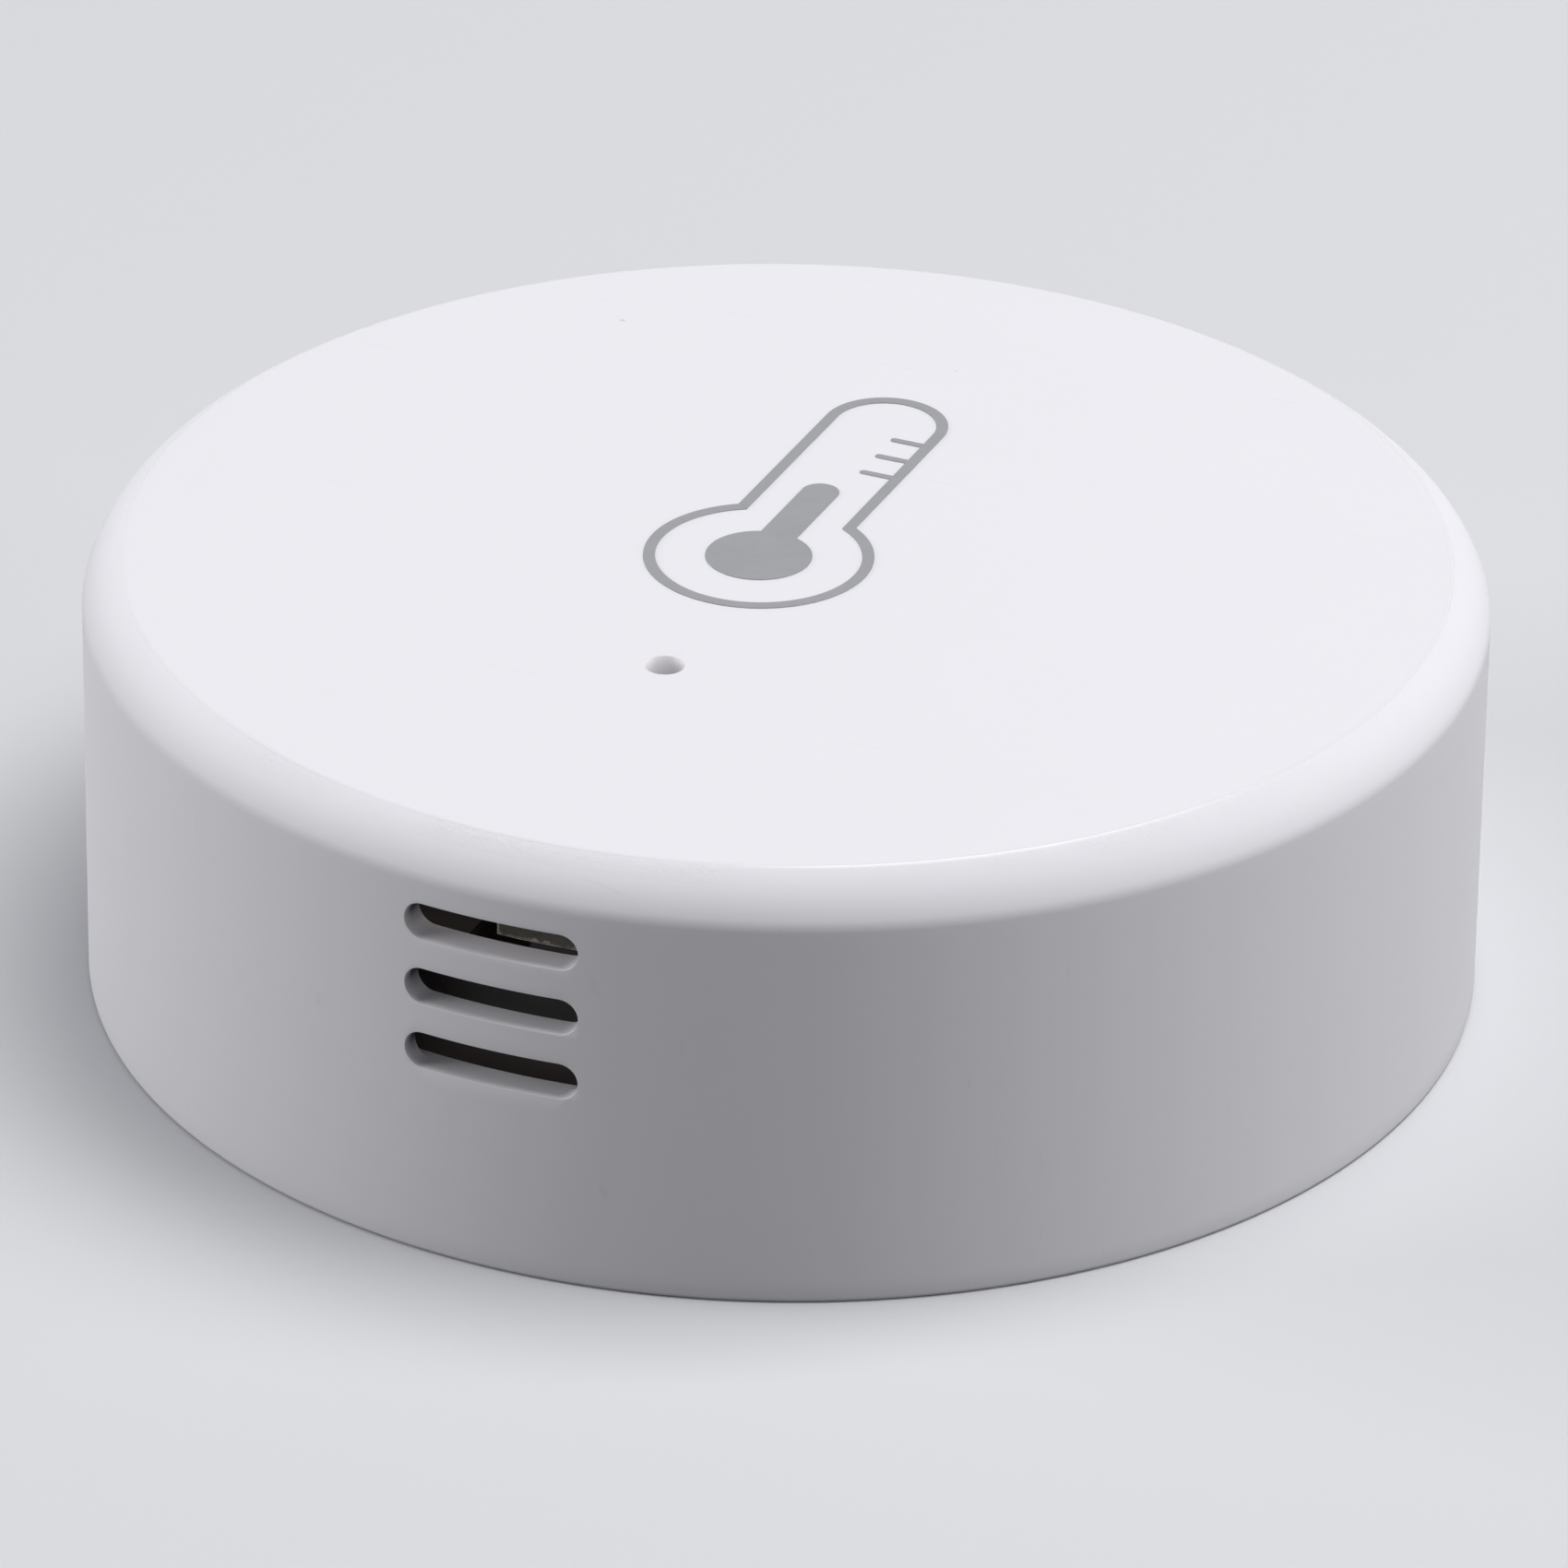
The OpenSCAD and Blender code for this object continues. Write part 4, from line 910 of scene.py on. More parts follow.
def milled_laminate(name, code, fibre_and_highlight_code, low_z, highlight_corner_x):
    """The board's milled edge: plies of glass cloth in dark epoxy, 0.17 mm each, with bright
    broken fibres and painted glints along the lower edge, at low_z, and a painted highlight up the
    tongue's corner, at the corner's given x. The fibres are drawn in bundles of 0.05 mm, because one
    alone is too fine to show."""
    made, tree = new_material(name)
    place = add(tree, "ShaderNodeTexCoord").outputs["Object"]
    plies = add(tree, "ShaderNodeTexWave", {
        "Vector": place, "Scale": 1 / (20 * 0.17 * MM) * 2, "Distortion": 2.5, "Detail": 3.0,
        "Detail Scale": 3.0}, bands_direction="Z")
    strands = add(tree, "ShaderNodeMapping", {
        "Vector": place, "Scale": (1 / (0.5 * MM), 1 / (0.5 * MM), 1 / (0.05 * MM))})
    fibres = add(tree, "ShaderNodeTexNoise", {
        "Vector": strands.outputs[0], "Scale": 1.0, "Detail": 4.0, "Roughness": 0.7})
    parts = add(tree, "ShaderNodeSeparateXYZ", {0: place}).outputs
    rise = parts["Z"]
    # Painted highlight: a bright stripe up the tongue's corner, where a rounded corner would catch the
    # light.
    off_corner = add(tree, "ShaderNodeMath", {0: parts["X"], 1: highlight_corner_x}, operation="SUBTRACT")
    beside = add(tree, "ShaderNodeMath", {0: off_corner.outputs[0]}, operation="ABSOLUTE")
    corner = add(tree, "ShaderNodeMapRange", {
        "Value": beside.outputs[0], "From Min": 0.09 * MM, "From Max": 0.02 * MM})
    wander = add(tree, "ShaderNodeTexNoise", {
        "Vector": place, "Scale": 1 / (0.3 * MM), "Detail": 3.0, "Roughness": 0.75})
    ragged = add(tree, "ShaderNodeMath", {
        0: wander.outputs[0], 1: -0.35 * MM, 2: rise}, operation="MULTIPLY_ADD")
    # The lower edge's bright line: broken fibres, with painted glints.
    torn_and_glint = add(tree, "ShaderNodeMapRange", {
        "Value": ragged.outputs[0], "From Min": low_z - 0.05 * MM, "From Max": low_z - 0.14 * MM})
    torn_and_highlight = add(tree, "ShaderNodeMath", {
        0: torn_and_glint.outputs[0], 1: corner.outputs[0]}, operation="MAXIMUM")
    glint = add(tree, "ShaderNodeMapRange", {
        "Value": fibres.outputs[0], "From Min": 0.38, "From Max": 0.54, "To Min": 0.25})
    bright_fibres_and_highlight = add(tree, "ShaderNodeMath", {
        0: torn_and_highlight.outputs[0], 1: glint.outputs[0]}, operation="MULTIPLY")
    layered = add(tree, "ShaderNodeMath", {
        0: plies.outputs["Fac"], 1: fibres.outputs[0]}, operation="MULTIPLY")
    body = add(tree, "ShaderNodeMix", {
        "Factor": layered.outputs[0], "A": linear(code), "B": shade(code, 1.7)}, data_type="RGBA")
    colour = add(tree, "ShaderNodeMix", {
        "Factor": bright_fibres_and_highlight.outputs[0], "A": body.outputs["Result"],
        "B": linear(fibre_and_highlight_code)}, data_type="RGBA")
    bump = add(tree, "ShaderNodeBump", {"Height": fibres.outputs[0], "Distance": 0.02 * MM})
    skin = add(tree, "ShaderNodeBsdfPrincipled", {
        "Base Color": colour.outputs["Result"], "Roughness": 0.6, "IOR": 1.55,
        "Normal": bump.outputs[0]})
    add(tree, "ShaderNodeOutputMaterial", {"Surface": skin.outputs[0]})
    return made


def plated_metal(name, code, roughness, grain=0.1 * MM, grain_depth=0.001 * MM, lay=(1.0, 1.0, 1.0)):
    """Plated or rolled metal: a fine grain, drawn out along a rolling direction where lay gives
    one, with cloudy patches where handling has dulled it. The real grain of 0.01 to 0.03 mm is
    drawn coarser, so that the sheen breaks up as it does in a close look."""
    made, tree = new_material(name)
    place = add(tree, "ShaderNodeTexCoord").outputs["Object"]
    rolled = add(tree, "ShaderNodeMapping", {"Vector": place, "Scale": lay})
    lines = add(tree, "ShaderNodeTexNoise", {
        "Vector": rolled.outputs[0], "Scale": 1 / grain, "Detail": 3.0, "Roughness": 0.6})
    haze = add(tree, "ShaderNodeTexNoise", {"Vector": place, "Scale": 1 / (2.5 * MM), "Detail": 4.0})
    tone = add(tree, "ShaderNodeMix", {
        "Factor": haze.outputs[0], "A": linear(code), "B": shade(code, 0.8)}, data_type="RGBA")
    rough = add(tree, "ShaderNodeMapRange", {
        "Value": haze.outputs[0], "From Min": 0.3, "From Max": 0.7, "To Min": roughness - 0.06,
        "To Max": roughness + 0.1})
    bump = add(tree, "ShaderNodeBump", {"Height": lines.outputs[0], "Distance": grain_depth})
    skin = add(tree, "ShaderNodeBsdfPrincipled", {
        "Base Color": tone.outputs["Result"], "Metallic": 1.0, "Roughness": rough.outputs[0],
        "Normal": bump.outputs[0]})
    add(tree, "ShaderNodeOutputMaterial", {"Surface": skin.outputs[0]})
    return made


black_mask = solder_mask("black_solder_mask", "#131416")
mask_over_copper = solder_mask("solder_mask_over_copper", "#2e3234")
# The pale colour gives broken fibres with painted glints along the lower edge, and a painted highlight
# up the tongue's left corner.
milled_edge = milled_laminate("milled_glass_epoxy", "#615e58", "#f2eee2", board_low.z, -tongue_left)
gold_flash = plated_metal("gold_flashed_copper", "#e3b96a", 0.28)

via_tree, given = recipe("plated_vias", {"Via radius": "Float", "Land width": "Float",
                                         "Land height": "Float", "Finish": "Material"})
via_ring = add(via_tree, "GeometryNodeCurvePrimitiveCircle", {
    "Resolution": 20, "Radius": given["Via radius"]})
via_foil = add(via_tree, "GeometryNodeCurvePrimitiveQuadrilateral", {
    "Width": given["Land width"], "Height": given["Land height"]})
via_land = add(via_tree, "GeometryNodeCurveToMesh", {
    "Curve": via_ring.outputs[0], "Profile Curve": via_foil.outputs[0]})
add(via_tree, "NodeGroupOutput", {0: planted(via_tree, given, via_land.outputs[0], "Finish")})

# A row of vias stitches the ground round the rim, and one ends each line that dives.
stitch_r = board_r - 0.6 * MM
stitch_spots = arc((0, 0), stitch_r, -68, 68, 22) + arc((0, 0), stitch_r, 112, 244, 22)
dive_spots = [route[0] for route in routes[-4:]] + [routes[11][-1]]
stitch_spots += [(x * MM, y * MM) for x, y in dive_spots]
stitch_places = [(x, y, board_high.z + track_h / 2) for x, y in stitch_spots]
stitches = grown("via_lands", via_tree, stitch_places,
                 {"Via radius": 0.2 * MM, "Land width": 0.14 * MM, "Land height": track_h + 2 * near,
                  "Finish": gold_flash})

legend_w = 0.12 * MM
legend_h = 0.015 * MM


def legend_box(name, gap):
    """Printed lines that box in a part on the board, at a gap from it."""
    low, high = node_boxes[name]
    west, south, east, north = low.x - gap, low.y - gap, high.x + gap, high.y + gap
    bars = [((west, south), (east, south + legend_w)), ((west, north - legend_w), (east, north)),
            ((west, south + legend_w), (west + legend_w, north - legend_w)),
            ((east - legend_w, south + legend_w), (east, north - legend_w))]
    return [prism("legend", oblong(*bar), board_high.z, board_high.z + legend_h) for bar in bars]


legend = (legend_box("chip_antenna", 0.6 * MM) + legend_box("radio_crystal", 0.55 * MM)
          + legend_box("clock_crystal", 0.55 * MM) + legend_box("switch_base", 0.65 * MM))

board_top = joined("milled_board", [board])
for face in board_top.data.polygons:
    face.material_index = 1 if abs(face.normal.z) < 0.3 else 0
board_faces = [face.material_index for face in board_top.data.polygons]
circuit_board = joined("etched_circuit_board", [board_top], [], pads + [stitches], tracks, legend)
for face, number in zip(circuit_board.data.polygons, board_faces):
    face.material_index = number
shaded(circuit_board)
finished(circuit_board, black_mask, milled_edge, gold_flash, mask_over_copper,
         printed_ink("white_legend_ink", "#dfe0dc"))
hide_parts("circuit_board")
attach(circuit_board, "housing")


# The humidity sensor: a small block of black moulded epoxy soldered under the tongue, with a
# countersunk opening on its lower face through which the air reaches the sensing film.
def moulded_epoxy(name, code, grain_pitch):
    """Epoxy moulded round a chip: dull black with a soft sheen, broken up by its glass filler,
    whose real grains of 0.03 mm are drawn at grain_pitch so that they show."""
    made, tree = new_material(name)
    place = add(tree, "ShaderNodeTexCoord").outputs["Object"]
    filler = add(tree, "ShaderNodeTexVoronoi", {"Vector": place, "Scale": 1 / grain_pitch})
    patch = add(tree, "ShaderNodeTexNoise", {"Vector": place, "Scale": 1 / (0.8 * MM), "Detail": 4.0})
    tone = add(tree, "ShaderNodeMix", {
        "Factor": patch.outputs[0], "A": linear(code), "B": shade(code, 1.6)}, data_type="RGBA")
    bump = add(tree, "ShaderNodeBump", {"Height": filler.outputs["Distance"], "Distance": 0.003 * MM})
    rough = add(tree, "ShaderNodeMapRange", {"Value": patch.outputs[0], "To Min": 0.45, "To Max": 0.6})
    skin = add(tree, "ShaderNodeBsdfPrincipled", {
        "Base Color": tone.outputs["Result"], "Roughness": rough.outputs[0], "IOR": 1.57,
        "Normal": bump.outputs[0]})
    add(tree, "ShaderNodeOutputMaterial", {"Surface": skin.outputs[0]})
    return made


def moulded_block(name, low, high, corner_r, edge_round):
    """A block with round corners and softened edges."""
    block = prism(name, rounded((low.x, low.y), (high.x, high.y), corner_r), low.z, high.z)
    return soften(block, edge_round)


sensor_low, sensor_high = node_boxes["humidity_sensor"]
sensor_mid = (sensor_low + sensor_high) / 2
port_r = 0.5 * MM
port_depth = 0.4 * MM
port_bevel = 0.12 * MM
port_outline = [(0.0, sensor_low.z - cut), (port_r + port_bevel + cut, sensor_low.z - cut),
                (port_r, sensor_low.z + port_bevel), (port_r, sensor_low.z + port_depth),
                (0.0, sensor_low.z + port_depth)]
sensor_at = Matrix.Translation((sensor_mid.x, sensor_mid.y, 0))
sensor = moulded_block("sensor_block", sensor_low, sensor_high, 0.12 * MM, 0.06 * MM)
carved(sensor, [turned("port", port_outline, 48, place=sensor_at)])
film_half = 0.28 * MM
film_half_t = 0.02 * MM
film_z = sensor_low.z + port_depth
film = prism("film", rounded((-film_half, -film_half), (film_half, film_half), 0.05 * MM),
             film_z - film_half_t, film_z + film_half_t, sensor_at)
humidity_sensor = shaded(joined("humidity_sensor_block", [sensor], [film]))
finished(humidity_sensor, moulded_epoxy("black_sensor_epoxy", "#17181a", 0.06 * MM), gold_flash)
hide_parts("humidity_sensor")
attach(humidity_sensor, "housing")


# The radio chip: a flat square of black moulded epoxy with eight tinned leads in the foot of
# each side. A shallow dimple marks the corner of its first lead.
tinned = plated_metal("tinned_copper", "#c9c8c4", 0.38, 0.06 * MM, 0.002 * MM)
chip_body = moulded_block("chip_body", radio_low, radio_high, 0.08 * MM, 0.05 * MM)
dimple_in = 0.7 * MM
dimple_z = radio_high.z - 0.05 * MM
dimple_at = Matrix.Translation((radio_low.x + dimple_in, radio_high.y - dimple_in, 0))
dimple = turned("dimple", [(0.0, radio_high.z + cut), (0.3 * MM, radio_high.z + cut),
                           (0.25 * MM, dimple_z), (0.0, dimple_z)], 32, place=dimple_at)
carved(chip_body, [dimple])
lead_h = 0.2 * MM
tin_t = 0.015 * MM
leads = []
for offset in lead_offsets:
    for lead_low, lead_high in (((radio_low.x - tin_t, radio_mid.y + offset - lead_half),
                                 (radio_high.x + tin_t, radio_mid.y + offset + lead_half)),
                                ((radio_mid.x + offset - lead_half, radio_low.y - tin_t),
                                 (radio_mid.x + offset + lead_half, radio_high.y + tin_t))):
        leads.append(prism("lead", oblong(lead_low, lead_high), radio_low.z, radio_low.z + lead_h))
radio_chip = shaded(joined("radio_chip_package", [chip_body], leads))
finished(radio_chip, moulded_epoxy("black_chip_epoxy", "#1a1b1d", 0.09 * MM), tinned)
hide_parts("radio_chip")
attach(radio_chip, "housing")


# The two crystals: ceramic boats with a metal lid seam-welded on, the larger for the radio
# and the narrow one for the clock.
def sintered_ceramic(name, code, spot_code, roughness):
    """Fired ceramic: matt to half glossy and even, with specks of other grains in it. They are
    drawn at 0.07 mm, several times their real size, so that they show."""
    made, tree = new_material(name)
    place = add(tree, "ShaderNodeTexCoord").outputs["Object"]
    speck = add(tree, "ShaderNodeTexNoise", {
        "Vector": place, "Scale": 1 / (0.07 * MM), "Detail": 3.0, "Roughness": 0.7})
    spots = add(tree, "ShaderNodeMapRange", {
        "Value": speck.outputs[0], "From Min": 0.52, "From Max": 0.7, "To Max": 0.6})
    colour = add(tree, "ShaderNodeMix", {
        "Factor": spots.outputs[0], "A": linear(code), "B": linear(spot_code)}, data_type="RGBA")
    wave = add(tree, "ShaderNodeTexNoise", {"Vector": place, "Scale": 1 / (0.25 * MM), "Detail": 3.0})
    bump = add(tree, "ShaderNodeBump", {"Height": wave.outputs[0], "Distance": 0.004 * MM})
    skin = add(tree, "ShaderNodeBsdfPrincipled", {
        "Base Color": colour.outputs["Result"], "Roughness": roughness, "IOR": 1.7,
        "Normal": bump.outputs[0]})
    add(tree, "ShaderNodeOutputMaterial", {"Surface": skin.outputs[0]})
    return made


def crystal(node, boat_share, boat_finish, lid_finish):
    """A ceramic boat with a lid whose welded flange leaves a step all round."""
    low, high = node_boxes[node]
    boat_high = Vector((high.x, high.y, low.z + boat_share * (high.z - low.z)))
    boat = moulded_block("boat", low, boat_high, 0.15 * MM, 0.04 * MM)
    inset = Vector((0.14 * MM, 0.14 * MM, 0.0))
    flange_t = 0.06 * MM
    lid_low = Vector((low.x, low.y, boat_high.z)) + inset
    flange_high = Vector((high.x, high.y, boat_high.z + flange_t)) - inset
    flange = moulded_block("flange", lid_low, flange_high, 0.2 * MM, 0.02 * MM)
    lid = moulded_block("lid", lid_low + inset, high - 2 * inset, 0.25 * MM, 0.07 * MM)
    return finished(shaded(joined(node + "_package", [boat], [flange, lid])), boat_finish, lid_finish)


lid_metal = plated_metal("gold_plated_alloy_lid", "#d9c690", 0.3, lay=(0.1, 1.0, 1.0))
boat_ceramic = sintered_ceramic("black_alumina_boat", "#3a3835", "#24221f", 0.5)
radio_crystal = crystal("radio_crystal", 0.55, boat_ceramic, lid_metal)
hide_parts("radio_crystal")
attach(radio_crystal, "housing")

white_boat = sintered_ceramic("white_alumina_boat", "#d6d0c2", "#b9b09c", 0.45)
clock_crystal = crystal("clock_crystal", 0.6, white_boat, lid_metal)
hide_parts("clock_crystal")
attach(clock_crystal, "housing")


# The chip aerial: a bar of white ceramic with tinned ends and a silver zigzag printed on it. It
# is soldered at the board's rim, as far as it can be from the cell.
aerial_low, aerial_high = node_boxes["chip_antenna"]
aerial_end = 0.45 * MM
zigzag_w = 0.18 * MM
zigzag_inset = 0.35 * MM
zigzag_turns = 8
aerial_bar = moulded_block("bar", aerial_low, aerial_high, 0.05 * MM, 0.05 * MM)
tin_out = Vector((tin_t, tin_t, 0.0))
aerial_caps = []
for x in (aerial_low.x, aerial_high.x - aerial_end):
    end_low = Vector((x, aerial_low.y, aerial_low.z)) - tin_out
    end_high = Vector((x + aerial_end, aerial_high.y, aerial_high.z + tin_t)) + tin_out
    aerial_caps.append(moulded_block("cap", end_low, end_high, 0.05 * MM, 0.04 * MM))
zigzag_step = (aerial_high.x - aerial_low.x - 2 * aerial_end) / zigzag_turns
zigzag_y = (aerial_low.y + zigzag_inset, aerial_high.y - zigzag_inset)
zigzag = []
for i in range(zigzag_turns + 1):
    x = aerial_low.x + aerial_end + i * zigzag_step
    zigzag += [(x, zigzag_y[i % 2]), (x, zigzag_y[(i + 1) % 2])]
zigzag_ink = prism("zigzag", line_outline(zigzag, zigzag_w), aerial_high.z, aerial_high.z + tin_t)
chip_antenna = shaded(joined("chip_aerial", [aerial_bar], aerial_caps + [zigzag_ink]))
finished(chip_antenna, sintered_ceramic("white_aerial_ceramic", "#e9e5d8", "#d3ccb8", 0.35), tinned)
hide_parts("chip_antenna")
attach(chip_antenna, "housing")


# The status lamp: a light-emitting diode under clear epoxy on a white foot with gold ends. It is
# soldered beside the reset switch, and its light comes out of the pin hole.
lamp_low, lamp_high = node_boxes["status_lamp"]
lamp_end = 0.25 * MM
foot_h = 0.22 * MM
lens_inset = Vector((0.02 * MM, 0.28 * MM, 0.0))
foot_high = Vector((lamp_high.x, lamp_high.y, lamp_low.z + foot_h))
lamp_foot = moulded_block("foot", lamp_low, foot_high, 0.06 * MM, 0.02 * MM)
lens = moulded_block("lens", Vector((lamp_low.x, lamp_low.y, foot_high.z)) + lens_inset,
                     lamp_high - lens_inset, 0.06 * MM, 0.05 * MM)
gold_out = Vector((near, near, 0.0))
lamp_ends = []
for y in (lamp_low.y, lamp_high.y - lamp_end):
    end_low = Vector((lamp_low.x, y, lamp_low.z)) - gold_out
    end_high = Vector((lamp_high.x, y + lamp_end, foot_high.z + near)) + gold_out
    lamp_ends.append(moulded_block("end", end_low, end_high, 0.05 * MM, 0.02 * MM))


def clear_epoxy(name, code):
    """Clear cast epoxy: glossy and a little cloudy, tinted by the phosphor under it."""
    made, tree = new_material(name)
    place = add(tree, "ShaderNodeTexCoord").outputs["Object"]
    cloud = add(tree, "ShaderNodeTexNoise", {"Vector": place, "Scale": 1 / (0.3 * MM), "Detail": 2.0})
    tone = add(tree, "ShaderNodeMix", {
        "Factor": cloud.outputs[0], "A": linear(code), "B": linear("#f3e9b4")}, data_type="RGBA")
    bump = add(tree, "ShaderNodeBump", {"Height": cloud.outputs[0], "Distance": 0.004 * MM})
    skin = add(tree, "ShaderNodeBsdfPrincipled", {
        "Base Color": tone.outputs["Result"], "Roughness": 0.12, "IOR": 1.51,
        "Transmission Weight": 0.55, "Normal": bump.outputs[0]})
    add(tree, "ShaderNodeOutputMaterial", {"Surface": skin.outputs[0]})
    return made


status_lamp = shaded(joined("status_lamp_package", [lens], [lamp_foot], lamp_ends))
finished(status_lamp, clear_epoxy("clear_lamp_epoxy", "#f6f3e2"),
         sintered_ceramic("white_lamp_foot", "#ecebe4", "#dcdacf", 0.5), gold_flash)
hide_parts("status_lamp")
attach(status_lamp, "housing")


# The chip capacitors and resistors: small ceramic bars with tinned ends, three in a row. The
# large reservoir capacitor is the same kind of bar, hung under the board.
bar_tree, given = recipe("chip_bars", {"Size": "Vector", "End length": "Float", "Skin": "Float",
                                       "Body finish": "Material", "End finish": "Material"})
bar_size = add(bar_tree, "ShaderNodeSeparateXYZ", {0: given["Size"]})
half_up = add(bar_tree, "ShaderNodeMath", {0: bar_size.outputs["Z"], 1: 0.5}, operation="MULTIPLY")
bar_middle = add(bar_tree, "ShaderNodeCombineXYZ", {"Z": half_up.outputs[0]})
body_l = add(bar_tree, "ShaderNodeMath", {
    0: given["Skin"], 1: -2.0, 2: bar_size.outputs["Y"]}, operation="MULTIPLY_ADD")
body_size = add(bar_tree, "ShaderNodeCombineXYZ", {
    "X": bar_size.outputs["X"], "Y": body_l.outputs[0], "Z": bar_size.outputs["Z"]})
bar_block = add(bar_tree, "GeometryNodeMeshCube", {"Size": body_size.outputs[0]})
bar_body = add(bar_tree, "GeometryNodeTransform", {
    "Geometry": bar_block.outputs[0], "Translation": bar_middle.outputs[0]})
end_w = add(bar_tree, "ShaderNodeMath", {
    0: given["Skin"], 1: 2.0, 2: bar_size.outputs["X"]}, operation="MULTIPLY_ADD")
end_h = add(bar_tree, "ShaderNodeMath", {
    0: given["Skin"], 1: 1.0, 2: bar_size.outputs["Z"]}, operation="MULTIPLY_ADD")
end_size = add(bar_tree, "ShaderNodeCombineXYZ", {
    "X": end_w.outputs[0], "Y": given["End length"], "Z": end_h.outputs[0]})
end_block = add(bar_tree, "GeometryNodeMeshCube", {"Size": end_size.outputs[0]})
spare = add(bar_tree, "ShaderNodeMath", {
    0: bar_size.outputs["Y"], 1: given["End length"]}, operation="SUBTRACT")
end_z = add(bar_tree, "ShaderNodeMath", {0: end_h.outputs[0], 1: 0.5}, operation="MULTIPLY")
bar_ends = []
for side in (-0.5, 0.5):
    end_y = add(bar_tree, "ShaderNodeMath", {0: spare.outputs[0], 1: side}, operation="MULTIPLY")
    end_at = add(bar_tree, "ShaderNodeCombineXYZ", {"Y": end_y.outputs[0], "Z": end_z.outputs[0]})
    bar_end = add(bar_tree, "GeometryNodeTransform", {
        "Geometry": end_block.outputs[0], "Translation": end_at.outputs[0]})
    bar_ends.append(bar_end.outputs[0])
both_ends = add(bar_tree, "GeometryNodeJoinGeometry", {0: bar_ends})
dressed = [planted(bar_tree, given, bar_body.outputs[0], "Body finish"),
           planted(bar_tree, given, both_ends.outputs[0], "End finish")]
all_bars = add(bar_tree, "GeometryNodeJoinGeometry", {0: dressed})
add(bar_tree, "NodeGroupOutput", {0: all_bars.outputs[0]})


def chip_bars(name, places, size, end_l, body_finish):
    """Bars at each of the places, with softly rounded edges."""
    bars = grown(name, bar_tree, places, {"Size": size, "End length": end_l, "Skin": tin_t,
                                          "Body finish": body_finish, "End finish": tinned})
    return shaded(soften(bars, 0.035 * MM, steps=2))


capacitor_brown = sintered_ceramic("brown_capacitor_ceramic", "#a07a57", "#7d5b3e", 0.42)
chip_capacitors = chip_bars("capacitor_bars", chip_places(capacitor_shares),
                            (chip_w, chip_l, 0.48 * MM), 0.24 * MM, capacitor_brown)
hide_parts("chip_capacitors")
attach(chip_capacitors, "housing")

resistor_black = sintered_ceramic("black_resistor_glaze", "#26272a", "#3a3b3f", 0.3)
chip_resistors = chip_bars("resistor_bars", chip_places(resistor_shares),
                           (chip_w, chip_l, 0.33 * MM), 0.2 * MM, resistor_black)
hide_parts("chip_resistors")
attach(chip_resistors, "housing")

store_low, store_high = node_boxes["reservoir_capacitor"]
store_round = 0.08 * MM
store_end = 0.55 * MM
store_skin = Vector((0.0, tin_t, tin_t))
store_inset = Vector((tin_t, 0.0, 0.0))
store_body = moulded_block("body", store_low + store_inset, store_high - store_inset, store_round,
                           store_round)
store_ends = [moulded_block("end", Vector((x, store_low.y, store_low.z)) - store_skin,
                            Vector((x + store_end, store_high.y, store_high.z)) + store_skin,
                            store_round, store_round)
              for x in (store_low.x, store_high.x - store_end)]
reservoir_capacitor = shaded(joined("reservoir_bar", [store_body], store_ends))
finished(reservoir_capacitor, sintered_ceramic("tan_capacitor_ceramic", "#b3916b", "#8f6f4c", 0.42),
         tinned)
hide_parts("reservoir_capacitor")
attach(reservoir_capacitor, "housing")


# The reset switch: a black nylon base with a well, a snap dome of thin spring steel in the
# well, a plunger on the dome and a pressed steel plate that keeps them in.
base_low, base_high = node_boxes["switch_base"]
switch_at = Matrix.Translation(((base_low.x + base_high.x) / 2, (base_low.y + base_high.y) / 2, 0))
switch_x, switch_y = switch_at.translation.xy
well_r = 0.95 * MM
well_z = node_boxes["switch_dome"][0].z
well_bevel = 0.06 * MM
switch_base = moulded_block("switch_block", base_low, base_high, 0.2 * MM, 0.05 * MM)
well_outline = [(0.0, well_z), (well_r, well_z), (well_r, base_high.z - well_bevel),
                (well_r + well_bevel, base_high.z), (well_r + well_bevel, base_high.z + cut),
                (0.0, base_high.z + cut)]
carved(switch_base, [turned("well", well_outline, 64, place=switch_at)])
foot_inset = 0.5 * MM
foot_reach = 0.35 * MM
foot_half = 0.3 * MM
foot_t = 0.12 * MM
switch_feet = []
for y in (base_low.y + foot_inset, base_high.y - foot_inset):
    for inner_x, outer_x in ((base_low.x + near, base_low.x - foot_reach),
                             (base_high.x - near, base_high.x + foot_reach)):
        foot_low = Vector((min(inner_x, outer_x), y - foot_half, base_low.z))
        foot_high = Vector((max(inner_x, outer_x), y + foot_half, base_low.z + foot_t))
        switch_feet.append(moulded_block("foot", foot_low, foot_high, 0.05 * MM, 0.03 * MM))


